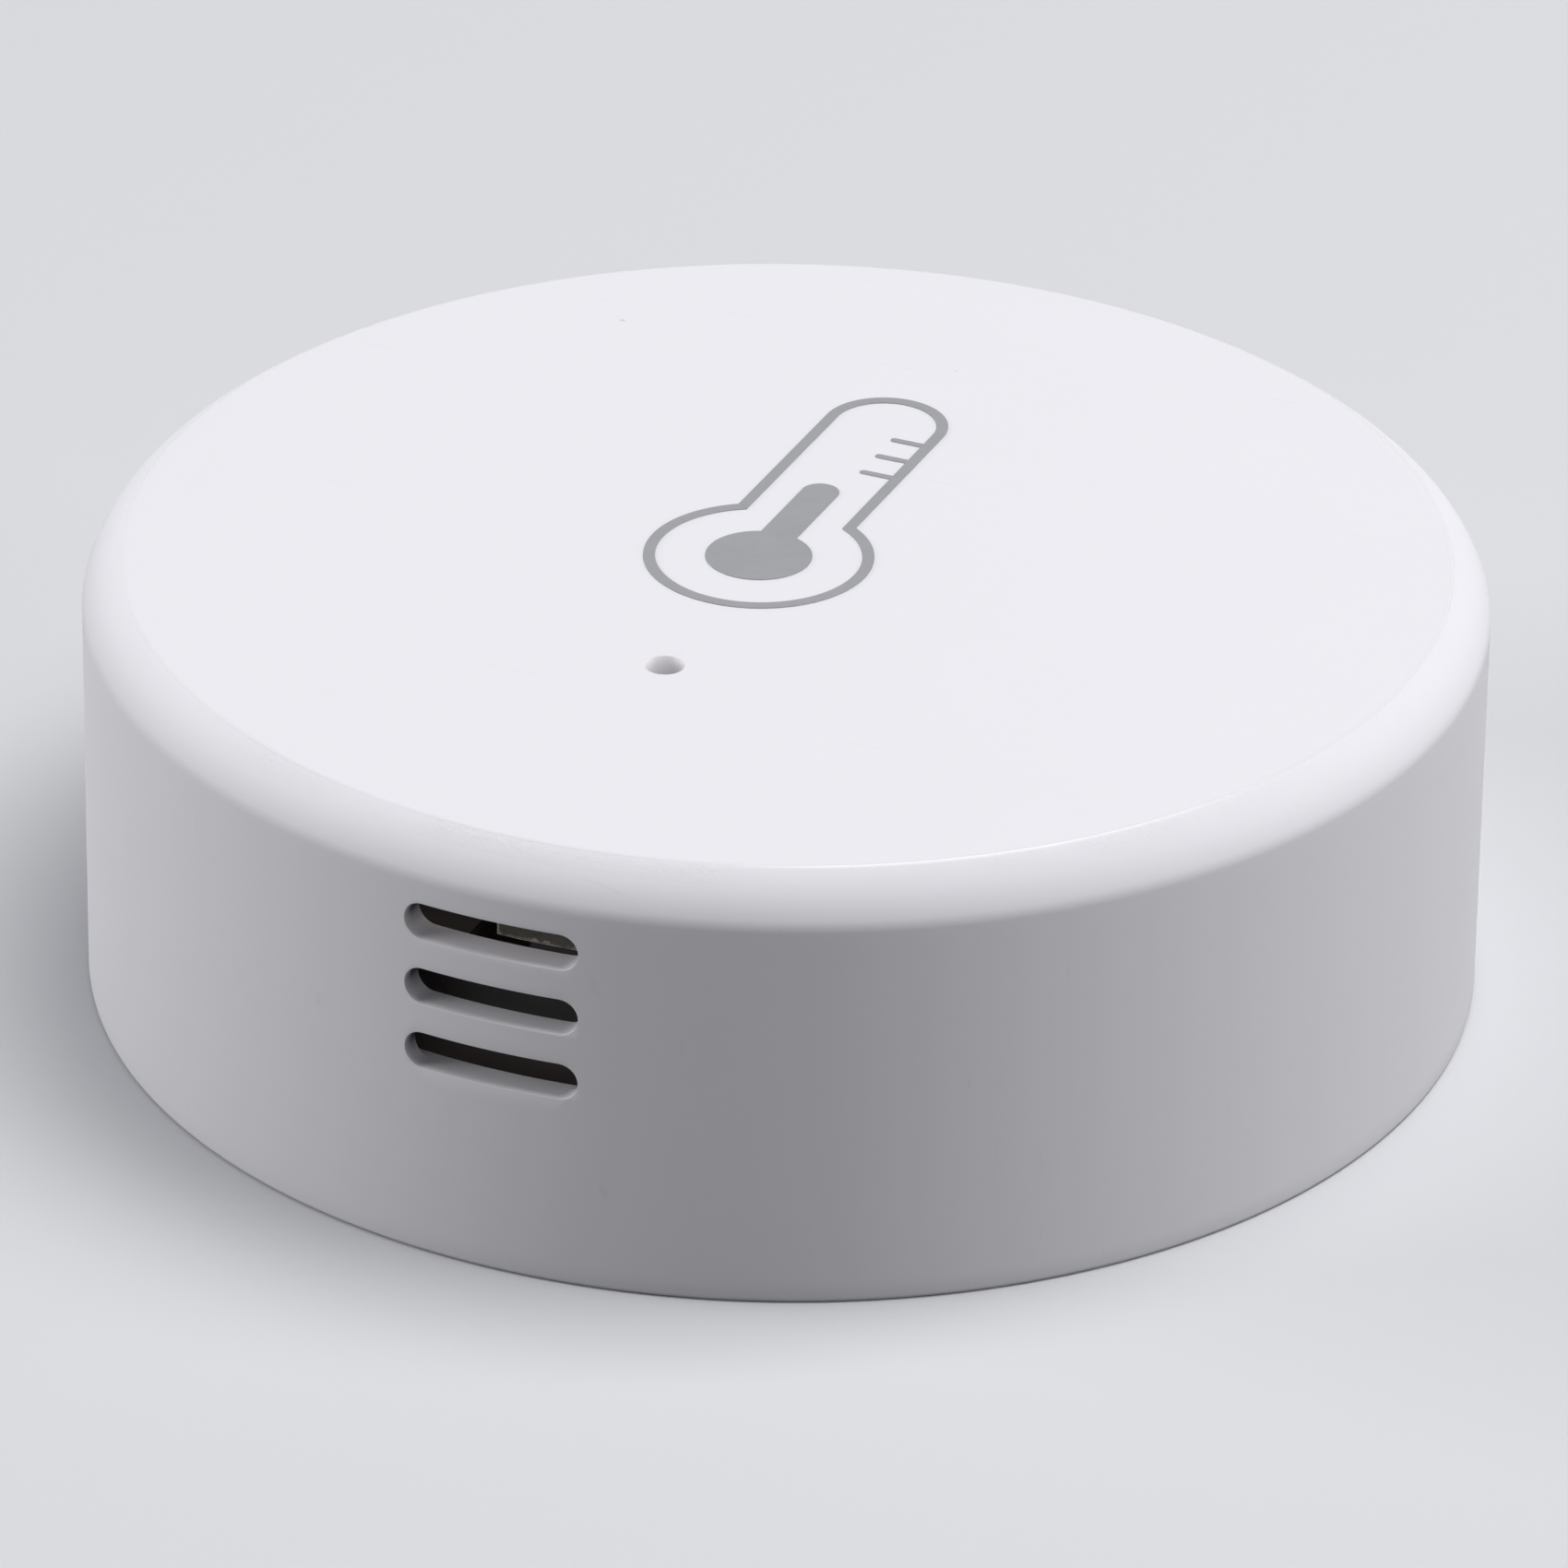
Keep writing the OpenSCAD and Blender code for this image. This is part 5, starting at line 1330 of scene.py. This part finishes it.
def moulded_nylon(name, code, roughness):
    """Moulded nylon: waxy and half matt, with cloudy flow marks from the gate and fine pits."""
    made, tree = new_material(name)
    place = add(tree, "ShaderNodeTexCoord").outputs["Object"]
    flow = add(tree, "ShaderNodeTexNoise", {
        "Vector": place, "Scale": 1 / (0.7 * MM), "Detail": 5.0, "Roughness": 0.6, "Distortion": 1.2})
    pits = add(tree, "ShaderNodeTexNoise", {"Vector": place, "Scale": 1 / (0.05 * MM), "Detail": 2.0})
    tone = add(tree, "ShaderNodeMix", {
        "Factor": flow.outputs[0], "A": linear(code), "B": shade(code, 1.5)}, data_type="RGBA")
    rough = add(tree, "ShaderNodeMapRange", {
        "Value": flow.outputs[0], "To Min": roughness - 0.05, "To Max": roughness + 0.08})
    bump = add(tree, "ShaderNodeBump", {"Height": pits.outputs[0], "Distance": 0.002 * MM})
    skin = add(tree, "ShaderNodeBsdfPrincipled", {
        "Base Color": tone.outputs["Result"], "Roughness": rough.outputs[0], "IOR": 1.53,
        "Normal": bump.outputs[0]})
    add(tree, "ShaderNodeOutputMaterial", {"Surface": skin.outputs[0]})
    return made


switch_base = shaded(joined("switch_body", [switch_base], switch_feet))
finished(switch_base, moulded_nylon("black_nylon", "#18181a", 0.5), tinned)
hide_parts("switch_base")
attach(switch_base, "housing")

dome_high_z = node_boxes["switch_dome"][1].z
dome_gap = 0.05 * MM
dome_r = well_r - dome_gap
dome_rise = dome_high_z - well_z
dome_t = 0.04 * MM
dome_ball_r = (dome_r ** 2 + dome_rise ** 2) / (2 * dome_rise)
dome_turn = math.degrees(math.asin(dome_r / dome_ball_r))
dome_mid_z = dome_high_z - dome_ball_r
dome_outline = arc((0, dome_mid_z), dome_ball_r, 90 - dome_turn, 90, 14)
dome_outline += arc((0, dome_mid_z), dome_ball_r - dome_t, 90, 90 - dome_turn, 14)
dome_outline = [(max(r, 0.0), max(z, well_z)) for r, z in dome_outline]
snap_dome = shaded(turned("snap_dome", dome_outline, 72, place=switch_at), flats=False)
finished(snap_dome, plated_metal("spring_steel_dome", "#cfcfd0", 0.22, 0.05 * MM))
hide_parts("switch_dome")
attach(snap_dome, "housing")
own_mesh(snap_dome)

plate_low, plate_high = node_boxes["switch_plate"]
stem_r = 0.55 * MM
stem_gap = 0.05 * MM
plate_outline = rounded((plate_low.x, plate_low.y), (plate_high.x, plate_high.y), 0.2 * MM)
switch_plate = prism("plate", plate_outline, plate_low.z, plate_high.z)
plate_hole = prism("hole", circle((0, 0), stem_r + stem_gap), plate_low.z - cut,
                   plate_high.z + cut, switch_at)
carved(switch_plate, [plate_hole])
soften(switch_plate, 0.025 * MM, steps=2)
clip_half = 0.45 * MM
clip_t = 0.08 * MM
clip_drop = 0.3 * MM
clips = []
for x in (plate_low.x - clip_t, plate_high.x):
    clip_low = Vector((x, switch_y - clip_half, plate_low.z - clip_drop))
    clip_high = Vector((x + clip_t, switch_y + clip_half, plate_high.z))
    clips.append(moulded_block("clip", clip_low, clip_high, 0.03 * MM, 0.02 * MM))
switch_plate = shaded(joined("switch_cover_plate", [switch_plate] + clips))
finished(switch_plate, plated_metal("pressed_nickel_steel", "#c8c9cb", 0.3, 0.12 * MM,
                                    lay=(0.15, 1.0, 1.0)))
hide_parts("switch_plate")
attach(switch_plate, "housing")

plunger_low, plunger_high = node_boxes["switch_plunger"]
collar_r = (plunger_high.x - plunger_low.x) / 2
collar_t = 0.1 * MM
collar_break = 0.02 * MM
stem_round = 0.12 * MM
plunger_outline = [(0.0, plunger_low.z), (collar_r - collar_break, plunger_low.z),
                   (collar_r, plunger_low.z + collar_break), (collar_r, plunger_low.z + collar_t),
                   (stem_r, plunger_low.z + collar_t)]
plunger_outline += arc((stem_r - stem_round, plunger_high.z - stem_round), stem_round, 0, 90, 6)
plunger_outline += [(0.0, plunger_high.z)]
plunger = shaded(turned("reset_plunger", plunger_outline, 64, place=switch_at))
finished(plunger, moulded_nylon("grey_nylon", "#6e6f72", 0.45))
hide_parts("switch_plunger")
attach(plunger, "plunger")


# The battery tray: one moulding in black ABS. A web over the cell joins the cell's pocket to
# the outer wall, three pillars carry the board, and a flange reaches out to the shell.
tray_low, tray_high = node_boxes["battery_tray"]
tray_wall_t = 0.8 * MM
tray_inner_r = tray_r - tray_wall_t
tray_skirt_z = cover_high.z + free_gap
flange_r = tray_high.x
flange_z = tray_high.z - tray_wall_t
flange_w = 1.0 * MM
flange_inner_r = tray_inner_r - flange_w
screw_clear = 0.3 * MM
screw_reach = 7.0 * MM
web_z = screw_high.z - pilot_top_z + screw_clear + screw_reach
web_top_z = web_z + tray_wall_t
moat_w = 4.1 * MM
pocket_wall_t = 0.85 * MM
cell_gap = 0.2 * MM
pocket_outer_r = tray_inner_r - moat_w
pocket_r = pocket_outer_r - pocket_wall_t
cell_r = pocket_r - cell_gap
tray_outline = [(0.0, web_z), (pocket_r, web_z), (pocket_r, tray_low.z),
                (pocket_outer_r, tray_low.z), (pocket_outer_r, web_z), (tray_inner_r, web_z),
                (tray_inner_r, tray_skirt_z), (tray_r, tray_skirt_z), (tray_r, flange_z),
                (flange_r, flange_z), (flange_r, tray_high.z), (flange_inner_r, tray_high.z),
                (flange_inner_r, flange_z), (tray_inner_r, flange_z), (tray_inner_r, web_top_z),
                (0.0, web_top_z)]
battery_tray = turned("battery_tray_moulding", tray_outline, 192)
pillar_foot = 0.3 * MM
pillar_break = 0.1 * MM
pillar_outline = [(0.0, web_top_z - cut), (boss_r + pillar_foot, web_top_z - cut)]
pillar_outline += arc((boss_r + pillar_foot, web_top_z + pillar_foot), pillar_foot, 270, 180, 5)
pillar_outline += [(boss_r, tray_high.z - pillar_break), (boss_r - pillar_break, tray_high.z),
                   (0.0, tray_high.z)]
pillars = [turned("pillar", pillar_outline, 48, place=place) for place in screw_places]
carved(battery_tray, pillars, "UNION")
window_left = 1.45 * MM
window_right = 4.6 * MM
window_depth = 1.05 * MM
window = oblong((-window_left, -shell_r - cut), (window_right, -screw_circle_r))
side_recess_w = 0.6 * MM
side_recess_half = 1.65 * MM
side_recess = oblong((cell_r - side_tab_r, -side_recess_half),
                     (cell_r + side_recess_w - side_tab_r, side_recess_half))
tray_tools = [prism("window", window, tray_high.z - window_depth, tray_high.z + cut),
              prism("recess", side_recess, tray_low.z - cut, web_top_z + cut, side_tab_place),
              prism("tab_slot", rounded((-tab_half, spring_tab_y - tab_thick_half),
                                        (tab_half, spring_tab_y + tab_thick_half), 0.1 * MM),
                    web_z - cut, web_top_z + cut)]
tray_tools += [prism("screw_way", circle((0, 0), board_hole_r), web_z - cut,
                     tray_high.z + cut, place) for place in screw_places]
carved(battery_tray, tray_tools)
shaded(battery_tray)
black_abs = moulded_abs("black_abs_satin", "#2f2b29", 0.6, 0.14 * MM, 0.0015 * MM, 0.1)
finished(battery_tray, black_abs)
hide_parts("battery_tray")
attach(battery_tray, "housing")


# The housing screws: three self-tapping screws of zinc-plated steel with a pan head and a
# cross recess. They come up through the tray and the board into the shell's bosses.
head_h = web_z - screw_low.z
thread_core_r = 0.46 * MM
thread_crest_r = 0.62 * MM
thread_pitch = 0.5 * MM
thread_turn_steps = 36
thread_rise_steps = 12


def thread(low, high, point_h):
    """A screw's shank along Z with a helical thread, narrowing to a point at its high end."""
    rows = int((high - low) / thread_pitch * thread_rise_steps)
    tip_share = 0.25
    flank_share = 0.22
    points = []
    for i in range(rows + 1):
        z = low + (high - low) * i / rows
        taper = min(1.0, tip_share + (1 - tip_share) * (high - z) / point_h)
        for j in range(thread_turn_steps):
            turn = j / thread_turn_steps
            phase = (z / thread_pitch - turn) % 1.0
            crest = max(0.0, 1.0 - abs(phase - 0.5) / flank_share)
            r = (thread_core_r + (thread_crest_r - thread_core_r) * crest) * taper
            points.append((r * math.cos(2 * math.pi * turn), r * math.sin(2 * math.pi * turn), z))
    faces = [tuple(range(thread_turn_steps)),
             tuple(range(rows * thread_turn_steps, (rows + 1) * thread_turn_steps))]
    for i in range(rows):
        for j in range(thread_turn_steps):
            k = (j + 1) % thread_turn_steps
            here = i * thread_turn_steps
            there = here + thread_turn_steps
            faces.append((here + j, here + k, there + k, there + j))
    return closed_mesh("thread", points, faces)


head_round = 0.5 * MM
head_break = 0.06 * MM
head_flat_r = 0.75 * MM
head_dome_h = 0.55 * MM
screw_outline = [(0.0, screw_low.z), (head_flat_r, screw_low.z)]
screw_outline += arc((screw_head_r - head_round, screw_low.z + head_dome_h), head_round, -65, 0, 8)
screw_outline += [(screw_head_r, web_z - head_break), (screw_head_r - head_break, web_z),
                  (0.0, web_z)]
screw = turned("screw", screw_outline, 72)
recess_len = 0.6 * screw_head_r
recess_half = 0.14 * screw_head_r
recess_top = screw_low.z + head_h / 2
recesses = [prism("recess", rounded((-a, -b), (a, b), 0.1 * MM), screw_low.z - cut, recess_top)
            for a, b in ((recess_len, recess_half), (recess_half, recess_len))]
carved(screw, recesses)
soften(screw, 0.04 * MM, lambda edge: all(v.co.z < screw_low.z + near for v in edge.verts), 2)
carved(screw, [thread(web_z - head_h / 4, screw_high.z, 0.8 * MM)], "UNION")

screw_tree, given = recipe("screws_in_place", {"Screw": "Object", "Finish": "Material"})
one_screw = add(screw_tree, "GeometryNodeObjectInfo", {"Object": given["Screw"]})
screw_spot = add(screw_tree, "GeometryNodeInputPosition")
facing = add(screw_tree, "FunctionNodeAlignRotationToVector", {
    "Vector": screw_spot.outputs[0]}, axis="X", pivot_axis="Z")
all_screws = planted(screw_tree, given, one_screw.outputs["Geometry"], "Finish", facing.outputs[0])
add(screw_tree, "NodeGroupOutput", {0: all_screws})
zinc_plate = plated_metal("zinc_plated_steel", "#b9bcc0", 0.33, 0.08 * MM, 0.002 * MM)
housing_screws = grown("pan_head_screws", screw_tree, [place.translation for place in screw_places],
                       {"Screw": screw, "Finish": zinc_plate})
bpy.data.objects.remove(screw)
shaded(housing_screws)
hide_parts("housing_screws")
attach(housing_screws, "housing")


# The battery contacts: gold-flashed spring bronze, stamped and bent. A strip with a sprung
# tongue lies on the cell's cap, a bowed strip touches the can's side, and the tab of each is
# soldered in its slot in the board.
contact_t = 0.2 * MM
spring_low, spring_high = node_boxes["negative_spring_contact"]
strip_half = (spring_high.x - spring_low.x) / 2
strip_z = web_z - contact_t
strip_end_y = -spring_low.y
standing = Matrix(((0, 0, 1, 0), (1, 0, 0, 0), (0, 1, 0, 0), (0, 0, 0, 1)))
tab_w_half = 0.6 * MM
tongue_half = 0.85 * MM
tongue_root_y = -3.1 * MM
tongue_tip_y = 2.4 * MM
tongue_gap = 0.3 * MM
strip = prism("strip", rounded((-strip_half, -strip_end_y), (strip_half, strip_end_y), 0.5 * MM),
              strip_z, web_z)
window_outline = rounded((-tongue_half - tongue_gap, tongue_root_y),
                         (tongue_half + tongue_gap, tongue_tip_y + tongue_gap), 0.3 * MM)
carved(strip, [prism("window", window_outline, strip_z - cut, web_z + cut)])
soften(strip, 0.03 * MM, steps=2)


def bent_strip(name, route, half_width, place):
    """Sheet of the contacts' thickness, bent along a route and as wide as given."""
    return soften(prism(name, line_outline(route, contact_t), -half_width, half_width, place),
                  0.03 * MM, steps=2)


mid_z = strip_z + contact_t / 2
dip_z = spring_low.z + contact_t / 2
tongue_route = [(tongue_root_y - 0.4 * MM, mid_z)]
tongue_steps = 24
tongue_sprung = 0.92
for i in range(tongue_steps + 1):
    share = i / tongue_steps
    sag = math.sin(math.pi * min(1.0, share / tongue_sprung)) ** 2
    tongue_route.append((tongue_root_y + (tongue_tip_y - tongue_root_y) * share,
                         mid_z - (mid_z - dip_z) * sag))
tongue = bent_strip("tongue", tongue_route, tongue_half, standing)
bend_r = 0.3 * MM
tab_y = strip_end_y - contact_t / 2
tab_route = [(tab_y - 1.6 * MM, mid_z)]
tab_route += arc((tab_y - bend_r, mid_z + bend_r), bend_r, -90, 0, 6) + [(tab_y, spring_high.z)]
spring_tab = bent_strip("tab", tab_route, tab_w_half, standing)
solder_low_z = board_high.z + pad_h
solder_r = 0.92 * MM
solder_rise = 0.22 * MM
solder_rings = 8
solder_foot_z = solder_low_z + near
solder_outline = [(0.0, solder_low_z)]
solder_outline += [(solder_r * (1 - 0.1 * i), solder_foot_z + solder_rise * (i / solder_rings) ** 1.7)
                   for i in range(solder_rings + 1)] + [(0.0, solder_foot_z + solder_rise)]
oval = Matrix.Diagonal((1.0, 0.72, 1.0, 1.0))
spring_solder = turned("solder", solder_outline, 40, place=Matrix.Translation((0, tab_y, 0)) @ oval)
spring_parts = [strip, tongue, spring_tab]
negative_spring = shaded(joined("negative_spring_strip", spring_parts, [spring_solder]))
gold_bronze = plated_metal("gold_flashed_spring_bronze", "#dcb468", 0.3, 0.1 * MM,
                           lay=(1.0, 0.12, 1.0))
solder = plated_metal("reflowed_solder", "#c4c5c6", 0.25, 0.2 * MM, 0.006 * MM)
finished(negative_spring, gold_bronze, solder)
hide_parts("negative_spring_contact")
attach(negative_spring, "housing")

side_low, side_high = node_boxes["positive_side_contact"]
side_half = 1.5 * MM
side_place = side_tab_place @ upended
side_route = []
side_steps = 20
side_bowed = 0.8
side_off = 0.16 * MM
side_neck_h = 0.5 * MM
for i in range(side_steps + 1):
    share = i / side_steps
    bow = math.sin(math.pi * min(1.0, share / side_bowed)) ** 2
    side_route.append((side_off * (1 - bow), side_low.z + (web_top_z - side_low.z) * share))
side_sheet = bent_strip("side_sheet", side_route, side_half, side_place)
side_neck = bent_strip("side_tab", [(side_off, web_top_z - side_neck_h), (side_off, web_top_z),
                                    (0.0, web_top_z + side_neck_h), (0.0, side_high.z)],
                       tab_w_half, side_place)
side_solder = turned("solder", solder_outline, 40,
                     place=side_tab_place @ Matrix.Rotation(math.radians(90), 4, "Z") @ oval)
positive_side = shaded(joined("positive_side_strip", [side_sheet, side_neck], [side_solder]))
finished(positive_side, gold_bronze, solder)
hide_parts("positive_side_contact")
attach(positive_side, "housing")


# The coin cell: a nickel-plated steel can crimped over a plastic gasket onto a smaller cap.
# Inside are a pressed black pellet, a felt disc and a disc of soft lithium.
can_low, can_high = node_boxes["cell_can"]
cap_low, cap_high = node_boxes["cell_cap"]
sheet_t = 0.3 * MM
crimp_w = 1.15 * MM
crimp_r = cell_r - crimp_w
can_round = 0.45 * MM
crimp_round = 0.3 * MM
crimp_lip = 0.1 * MM
can_flat_rings = (0.6 * MM, 0.5 * MM)
can_outline = [(0.0, can_low.z)]
can_outline += [(cell_r - can_round - inwards, can_low.z) for inwards in can_flat_rings]
can_outline += arc((cell_r - can_round, can_low.z + can_round), can_round, -90, 0, 8)
can_outline += arc((cell_r - crimp_round, can_high.z - crimp_round), crimp_round, 0, 90, 8)
can_outline += arc((crimp_r + crimp_lip, can_high.z - crimp_lip), crimp_lip, 90, 180, 4)
can_outline += [(crimp_r, can_high.z - sheet_t), (cell_r - sheet_t, can_high.z - sheet_t),
                (cell_r - sheet_t, can_low.z + sheet_t), (0.0, can_low.z + sheet_t)]
cell_can = turned("cell_can_cup", can_outline, 192)
plus_arm = 2.4 * MM
plus_half = 0.35 * MM
plus_depth = 0.06 * MM
plus_tools = [prism("plus", rounded((-a, -b), (a, b), 0.15 * MM), can_low.z - cut,
                    can_low.z + plus_depth)
              for a, b in ((plus_arm, plus_half), (plus_half, plus_arm))]
shaded(carved(cell_can, plus_tools))
nickel = plated_metal("nickel_plated_steel", "#c3c4c6", 0.26, 0.09 * MM, lay=(0.12, 1.0, 1.0))
finished(cell_can, nickel)
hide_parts("cell_can")
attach(cell_can, "housing")

cap_r = cap_high.x
shoulder = 0.6 * MM
dish = 0.05 * MM
dish_rings = ((1.6 * MM, 0.0), (2.0 * MM, dish / 2), (2.4 * MM, 0.0))
cap_outline = [(cap_r - sheet_t, cap_low.z), (cap_r, cap_low.z)]
cap_outline += arc((cap_r - shoulder, cap_high.z - shoulder), shoulder, 0, 90, 10)
cap_outline += [(cap_r - inwards, cap_high.z - down) for inwards, down in dish_rings]
cap_outline += [(0.0, cap_high.z), (0.0, cap_high.z - sheet_t),
                (cap_r - shoulder, cap_high.z - sheet_t)]
cap_outline += arc((cap_r - shoulder, cap_high.z - shoulder), shoulder - sheet_t, 90, 0, 6)[1:]
cell_cap = shaded(turned("cell_cap_cup", cap_outline, 192))
finished(cell_cap, plated_metal("nickel_plated_cap", "#cbccce", 0.3, 0.07 * MM, 0.002 * MM))
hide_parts("cell_cap")
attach(cell_cap, "housing")

gasket_low, gasket_high = node_boxes["cell_gasket"]
gasket_r = gasket_high.x
gasket_break = 0.1 * MM
gasket_edge = 0.03 * MM
gasket_outline = [(cap_r, gasket_low.z), (gasket_r - gasket_break, gasket_low.z),
                  (gasket_r, gasket_low.z + gasket_break), (gasket_r, can_high.z - sheet_t),
                  (crimp_r, can_high.z - sheet_t), (crimp_r, can_high.z - gasket_edge),
                  (crimp_r - gasket_edge, can_high.z), (cap_r, can_high.z)]
cell_gasket = shaded(turned("cell_gasket_ring", gasket_outline, 128))
finished(cell_gasket, moulded_nylon("blue_gasket_plastic", "#3f6aa0", 0.4))
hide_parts("cell_gasket")
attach(cell_gasket, "housing")


def disc(name, node, edge_round):
    """A round disc with rounded edges, as large as its node."""
    low, high = node_boxes[node]
    outline = [(0.0, low.z)] + arc((high.x - edge_round, low.z + edge_round), edge_round, -90, 0, 4)
    outline += arc((high.x - edge_round, high.z - edge_round), edge_round, 0, 90, 4) + [(0.0, high.z)]
    return shaded(turned(name, outline, 128))


def pressed_powder(name, code):
    """Manganese dioxide and carbon pressed to a pellet: black, rough and crumbly. The real grain
    of 0.04 mm is drawn as lumps of 0.18 mm, so that it shows."""
    made, tree = new_material(name)
    place = add(tree, "ShaderNodeTexCoord").outputs["Object"]
    grains = add(tree, "ShaderNodeTexVoronoi", {"Vector": place, "Scale": 1 / (0.18 * MM)})
    lumps = add(tree, "ShaderNodeTexNoise", {"Vector": place, "Scale": 1 / (0.6 * MM), "Detail": 5.0})
    tone = add(tree, "ShaderNodeMix", {
        "Factor": lumps.outputs[0], "A": linear(code), "B": linear("#3b3a3a")}, data_type="RGBA")
    bump = add(tree, "ShaderNodeBump", {"Height": grains.outputs["Distance"], "Distance": 0.05 * MM})
    skin = add(tree, "ShaderNodeBsdfPrincipled", {
        "Base Color": tone.outputs["Result"], "Roughness": 0.85, "IOR": 1.5, "Normal": bump.outputs[0]})
    add(tree, "ShaderNodeOutputMaterial", {"Surface": skin.outputs[0]})
    return made


def laid_felt(name, code):
    """Nonwoven felt: white fibres laid at random, with a faint sheen and thin places. They are
    drawn 0.06 mm thick, three times what they are, so that they show."""
    made, tree = new_material(name)
    place = add(tree, "ShaderNodeTexCoord").outputs["Object"]
    layers = []
    for lean in (0.3, 1.4, 2.5):
        laid = add(tree, "ShaderNodeMapping", {
            "Vector": place, "Rotation": (0.0, 0.0, lean),
            "Scale": (1 / (1.5 * MM), 1 / (0.06 * MM), 1.0)})
        layers.append(add(tree, "ShaderNodeTexNoise", {
            "Vector": laid.outputs[0], "Scale": 1.0, "Detail": 1.0}).outputs[0])
    two = add(tree, "ShaderNodeMath", {0: layers[0], 1: layers[1]}, operation="MAXIMUM")
    fibres = add(tree, "ShaderNodeMath", {0: two.outputs[0], 1: layers[2]}, operation="MAXIMUM")
    spread = add(tree, "ShaderNodeMapRange", {
        "Value": fibres.outputs[0], "From Min": 0.5, "From Max": 0.75})
    tone = add(tree, "ShaderNodeMix", {
        "Factor": spread.outputs[0], "A": linear("#cfcdc6"), "B": linear(code)}, data_type="RGBA")
    bump = add(tree, "ShaderNodeBump", {"Height": fibres.outputs[0], "Distance": 0.03 * MM})
    skin = add(tree, "ShaderNodeBsdfPrincipled", {
        "Base Color": tone.outputs["Result"], "Roughness": 0.9, "Sheen Weight": 0.3,
        "Normal": bump.outputs[0]})
    add(tree, "ShaderNodeOutputMaterial", {"Surface": skin.outputs[0]})
    return made


cathode = disc("cathode_pellet", "cell_cathode", 0.15 * MM)
finished(cathode, pressed_powder("pressed_manganese_dioxide", "#1d1c1c"))
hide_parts("cell_cathode")
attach(cathode, "housing")

separator = disc("separator_felt_disc", "cell_separator", 0.05 * MM)
finished(separator, laid_felt("polypropylene_felt", "#f1f0ec"))
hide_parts("cell_separator")
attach(separator, "housing")

anode = disc("lithium_disc", "cell_anode", 0.2 * MM)
finished(anode, plated_metal("soft_lithium_foil", "#a9abad", 0.5, 0.3 * MM, 0.01 * MM,
                             lay=(0.2, 1.0, 1.0)))
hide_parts("cell_anode")
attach(anode, "housing")


# The base cover: a white ABS disc that closes the cell's compartment. A coin in its slot
# turns it, and three lugs on its upstanding ring lock over the shell's catches.
cover_t = 1.3 * MM
cover_ring_r = cover_r - lug_w
cover_ring_t = 0.8 * MM
cover_break = 0.25 * MM
cover_edge = 0.08 * MM
ring_round = 0.15 * MM
cover_outline = [(0.0, 0.0)] + arc((cover_r - cover_break, cover_break), cover_break, -90, 0, 5)
cover_outline += [(cover_r, cover_t - cover_edge), (cover_r - cover_edge, cover_t),
                  (cover_ring_r, cover_t)]
cover_outline += arc((cover_ring_r - ring_round, cover_high.z - ring_round), ring_round, 0, 90, 4)
cover_outline += [(cover_ring_r - cover_ring_t, cover_high.z),
                  (cover_ring_r - cover_ring_t, cover_t), (0.0, cover_t)]
base_cover = turned("base_cover_disc", cover_outline, turn_steps)
lug_low = cover_high.z - lug_h
lug_root_r = cover_ring_r - cover_ring_t / 2
lug_outline = [(lug_root_r, lug_low), (cover_r - lead_in, lug_low), (cover_r, lug_low + lead_in),
               (cover_r, cover_high.z - lead_in), (cover_r - lead_in, cover_high.z),
               (lug_root_r, cover_high.z)]
lugs = [turned("lug", lug_outline, 24, turn, lug_sweep) for turn in lug_turns]
carved(base_cover, lugs, "UNION")


def stacked(name, layers):
    """A solid through outlines of equally many points, each at its own height."""
    count = len(layers[0][0])
    points = [(x, y, z) for outline, z in layers for x, y in outline]
    faces = [tuple(range(count)), tuple(range(len(points) - count, len(points)))]
    faces += [(i * count + j, i * count + (j + 1) % count, (i + 1) * count + (j + 1) % count,
               (i + 1) * count + j) for i in range(len(layers) - 1) for j in range(count)]
    return closed_mesh(name, points, faces)


coin_half = 7.0 * MM
coin_slot_half = 0.95 * MM
coin_depth = 0.7 * MM
coin_bevel = 0.1 * MM
rim_flare = 0.14 * MM
slot_layers = [(rim_flare + cut, -cut)]
slot_layers += [(rim_flare - dx, z) for dx, z in arc((0.0, rim_flare), rim_flare, -90, 0, 5)]
slot_layers += [(0.0, coin_depth - coin_bevel), (-coin_bevel, coin_depth)]
coin_slot = stacked("coin_slot", [(rounded((-coin_half - out, -coin_slot_half - out),
                                           (coin_half + out, coin_slot_half + out), 0.3 * MM + out), z)
                                  for out, z in slot_layers])
arrow_r = 15.5 * MM
arrow_half = 0.17 * MM
arrow_depth = 0.15 * MM
arrow_turn = -100
arrow_sweep = 25
head_reach = 1.3 * MM
head_half = 0.75 * MM
arrow_line = turned("arrow_line", [(arrow_r - arrow_half, -cut), (arrow_r + arrow_half, -cut),
                                   (arrow_r + arrow_half, arrow_depth),
                                   (arrow_r - arrow_half, arrow_depth)], 24, arrow_turn, arrow_sweep)
head_place = Matrix.Rotation(math.radians(arrow_turn), 4, "Z") @ Matrix.Translation((arrow_r, 0, 0))
arrow_head = prism("arrow_head", [(-head_half, 0.0), (0.0, -head_reach), (head_half, 0.0)], -cut,
                   arrow_depth, head_place)
carved(base_cover, [coin_slot, arrow_line, arrow_head])
shaded(base_cover)
finished(base_cover, moulded_abs("white_abs_cover", "#e9e8ec", 0.5, 0.2 * MM, 0.002 * MM, 0.35))
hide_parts("base_cover")
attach(base_cover, "cover")
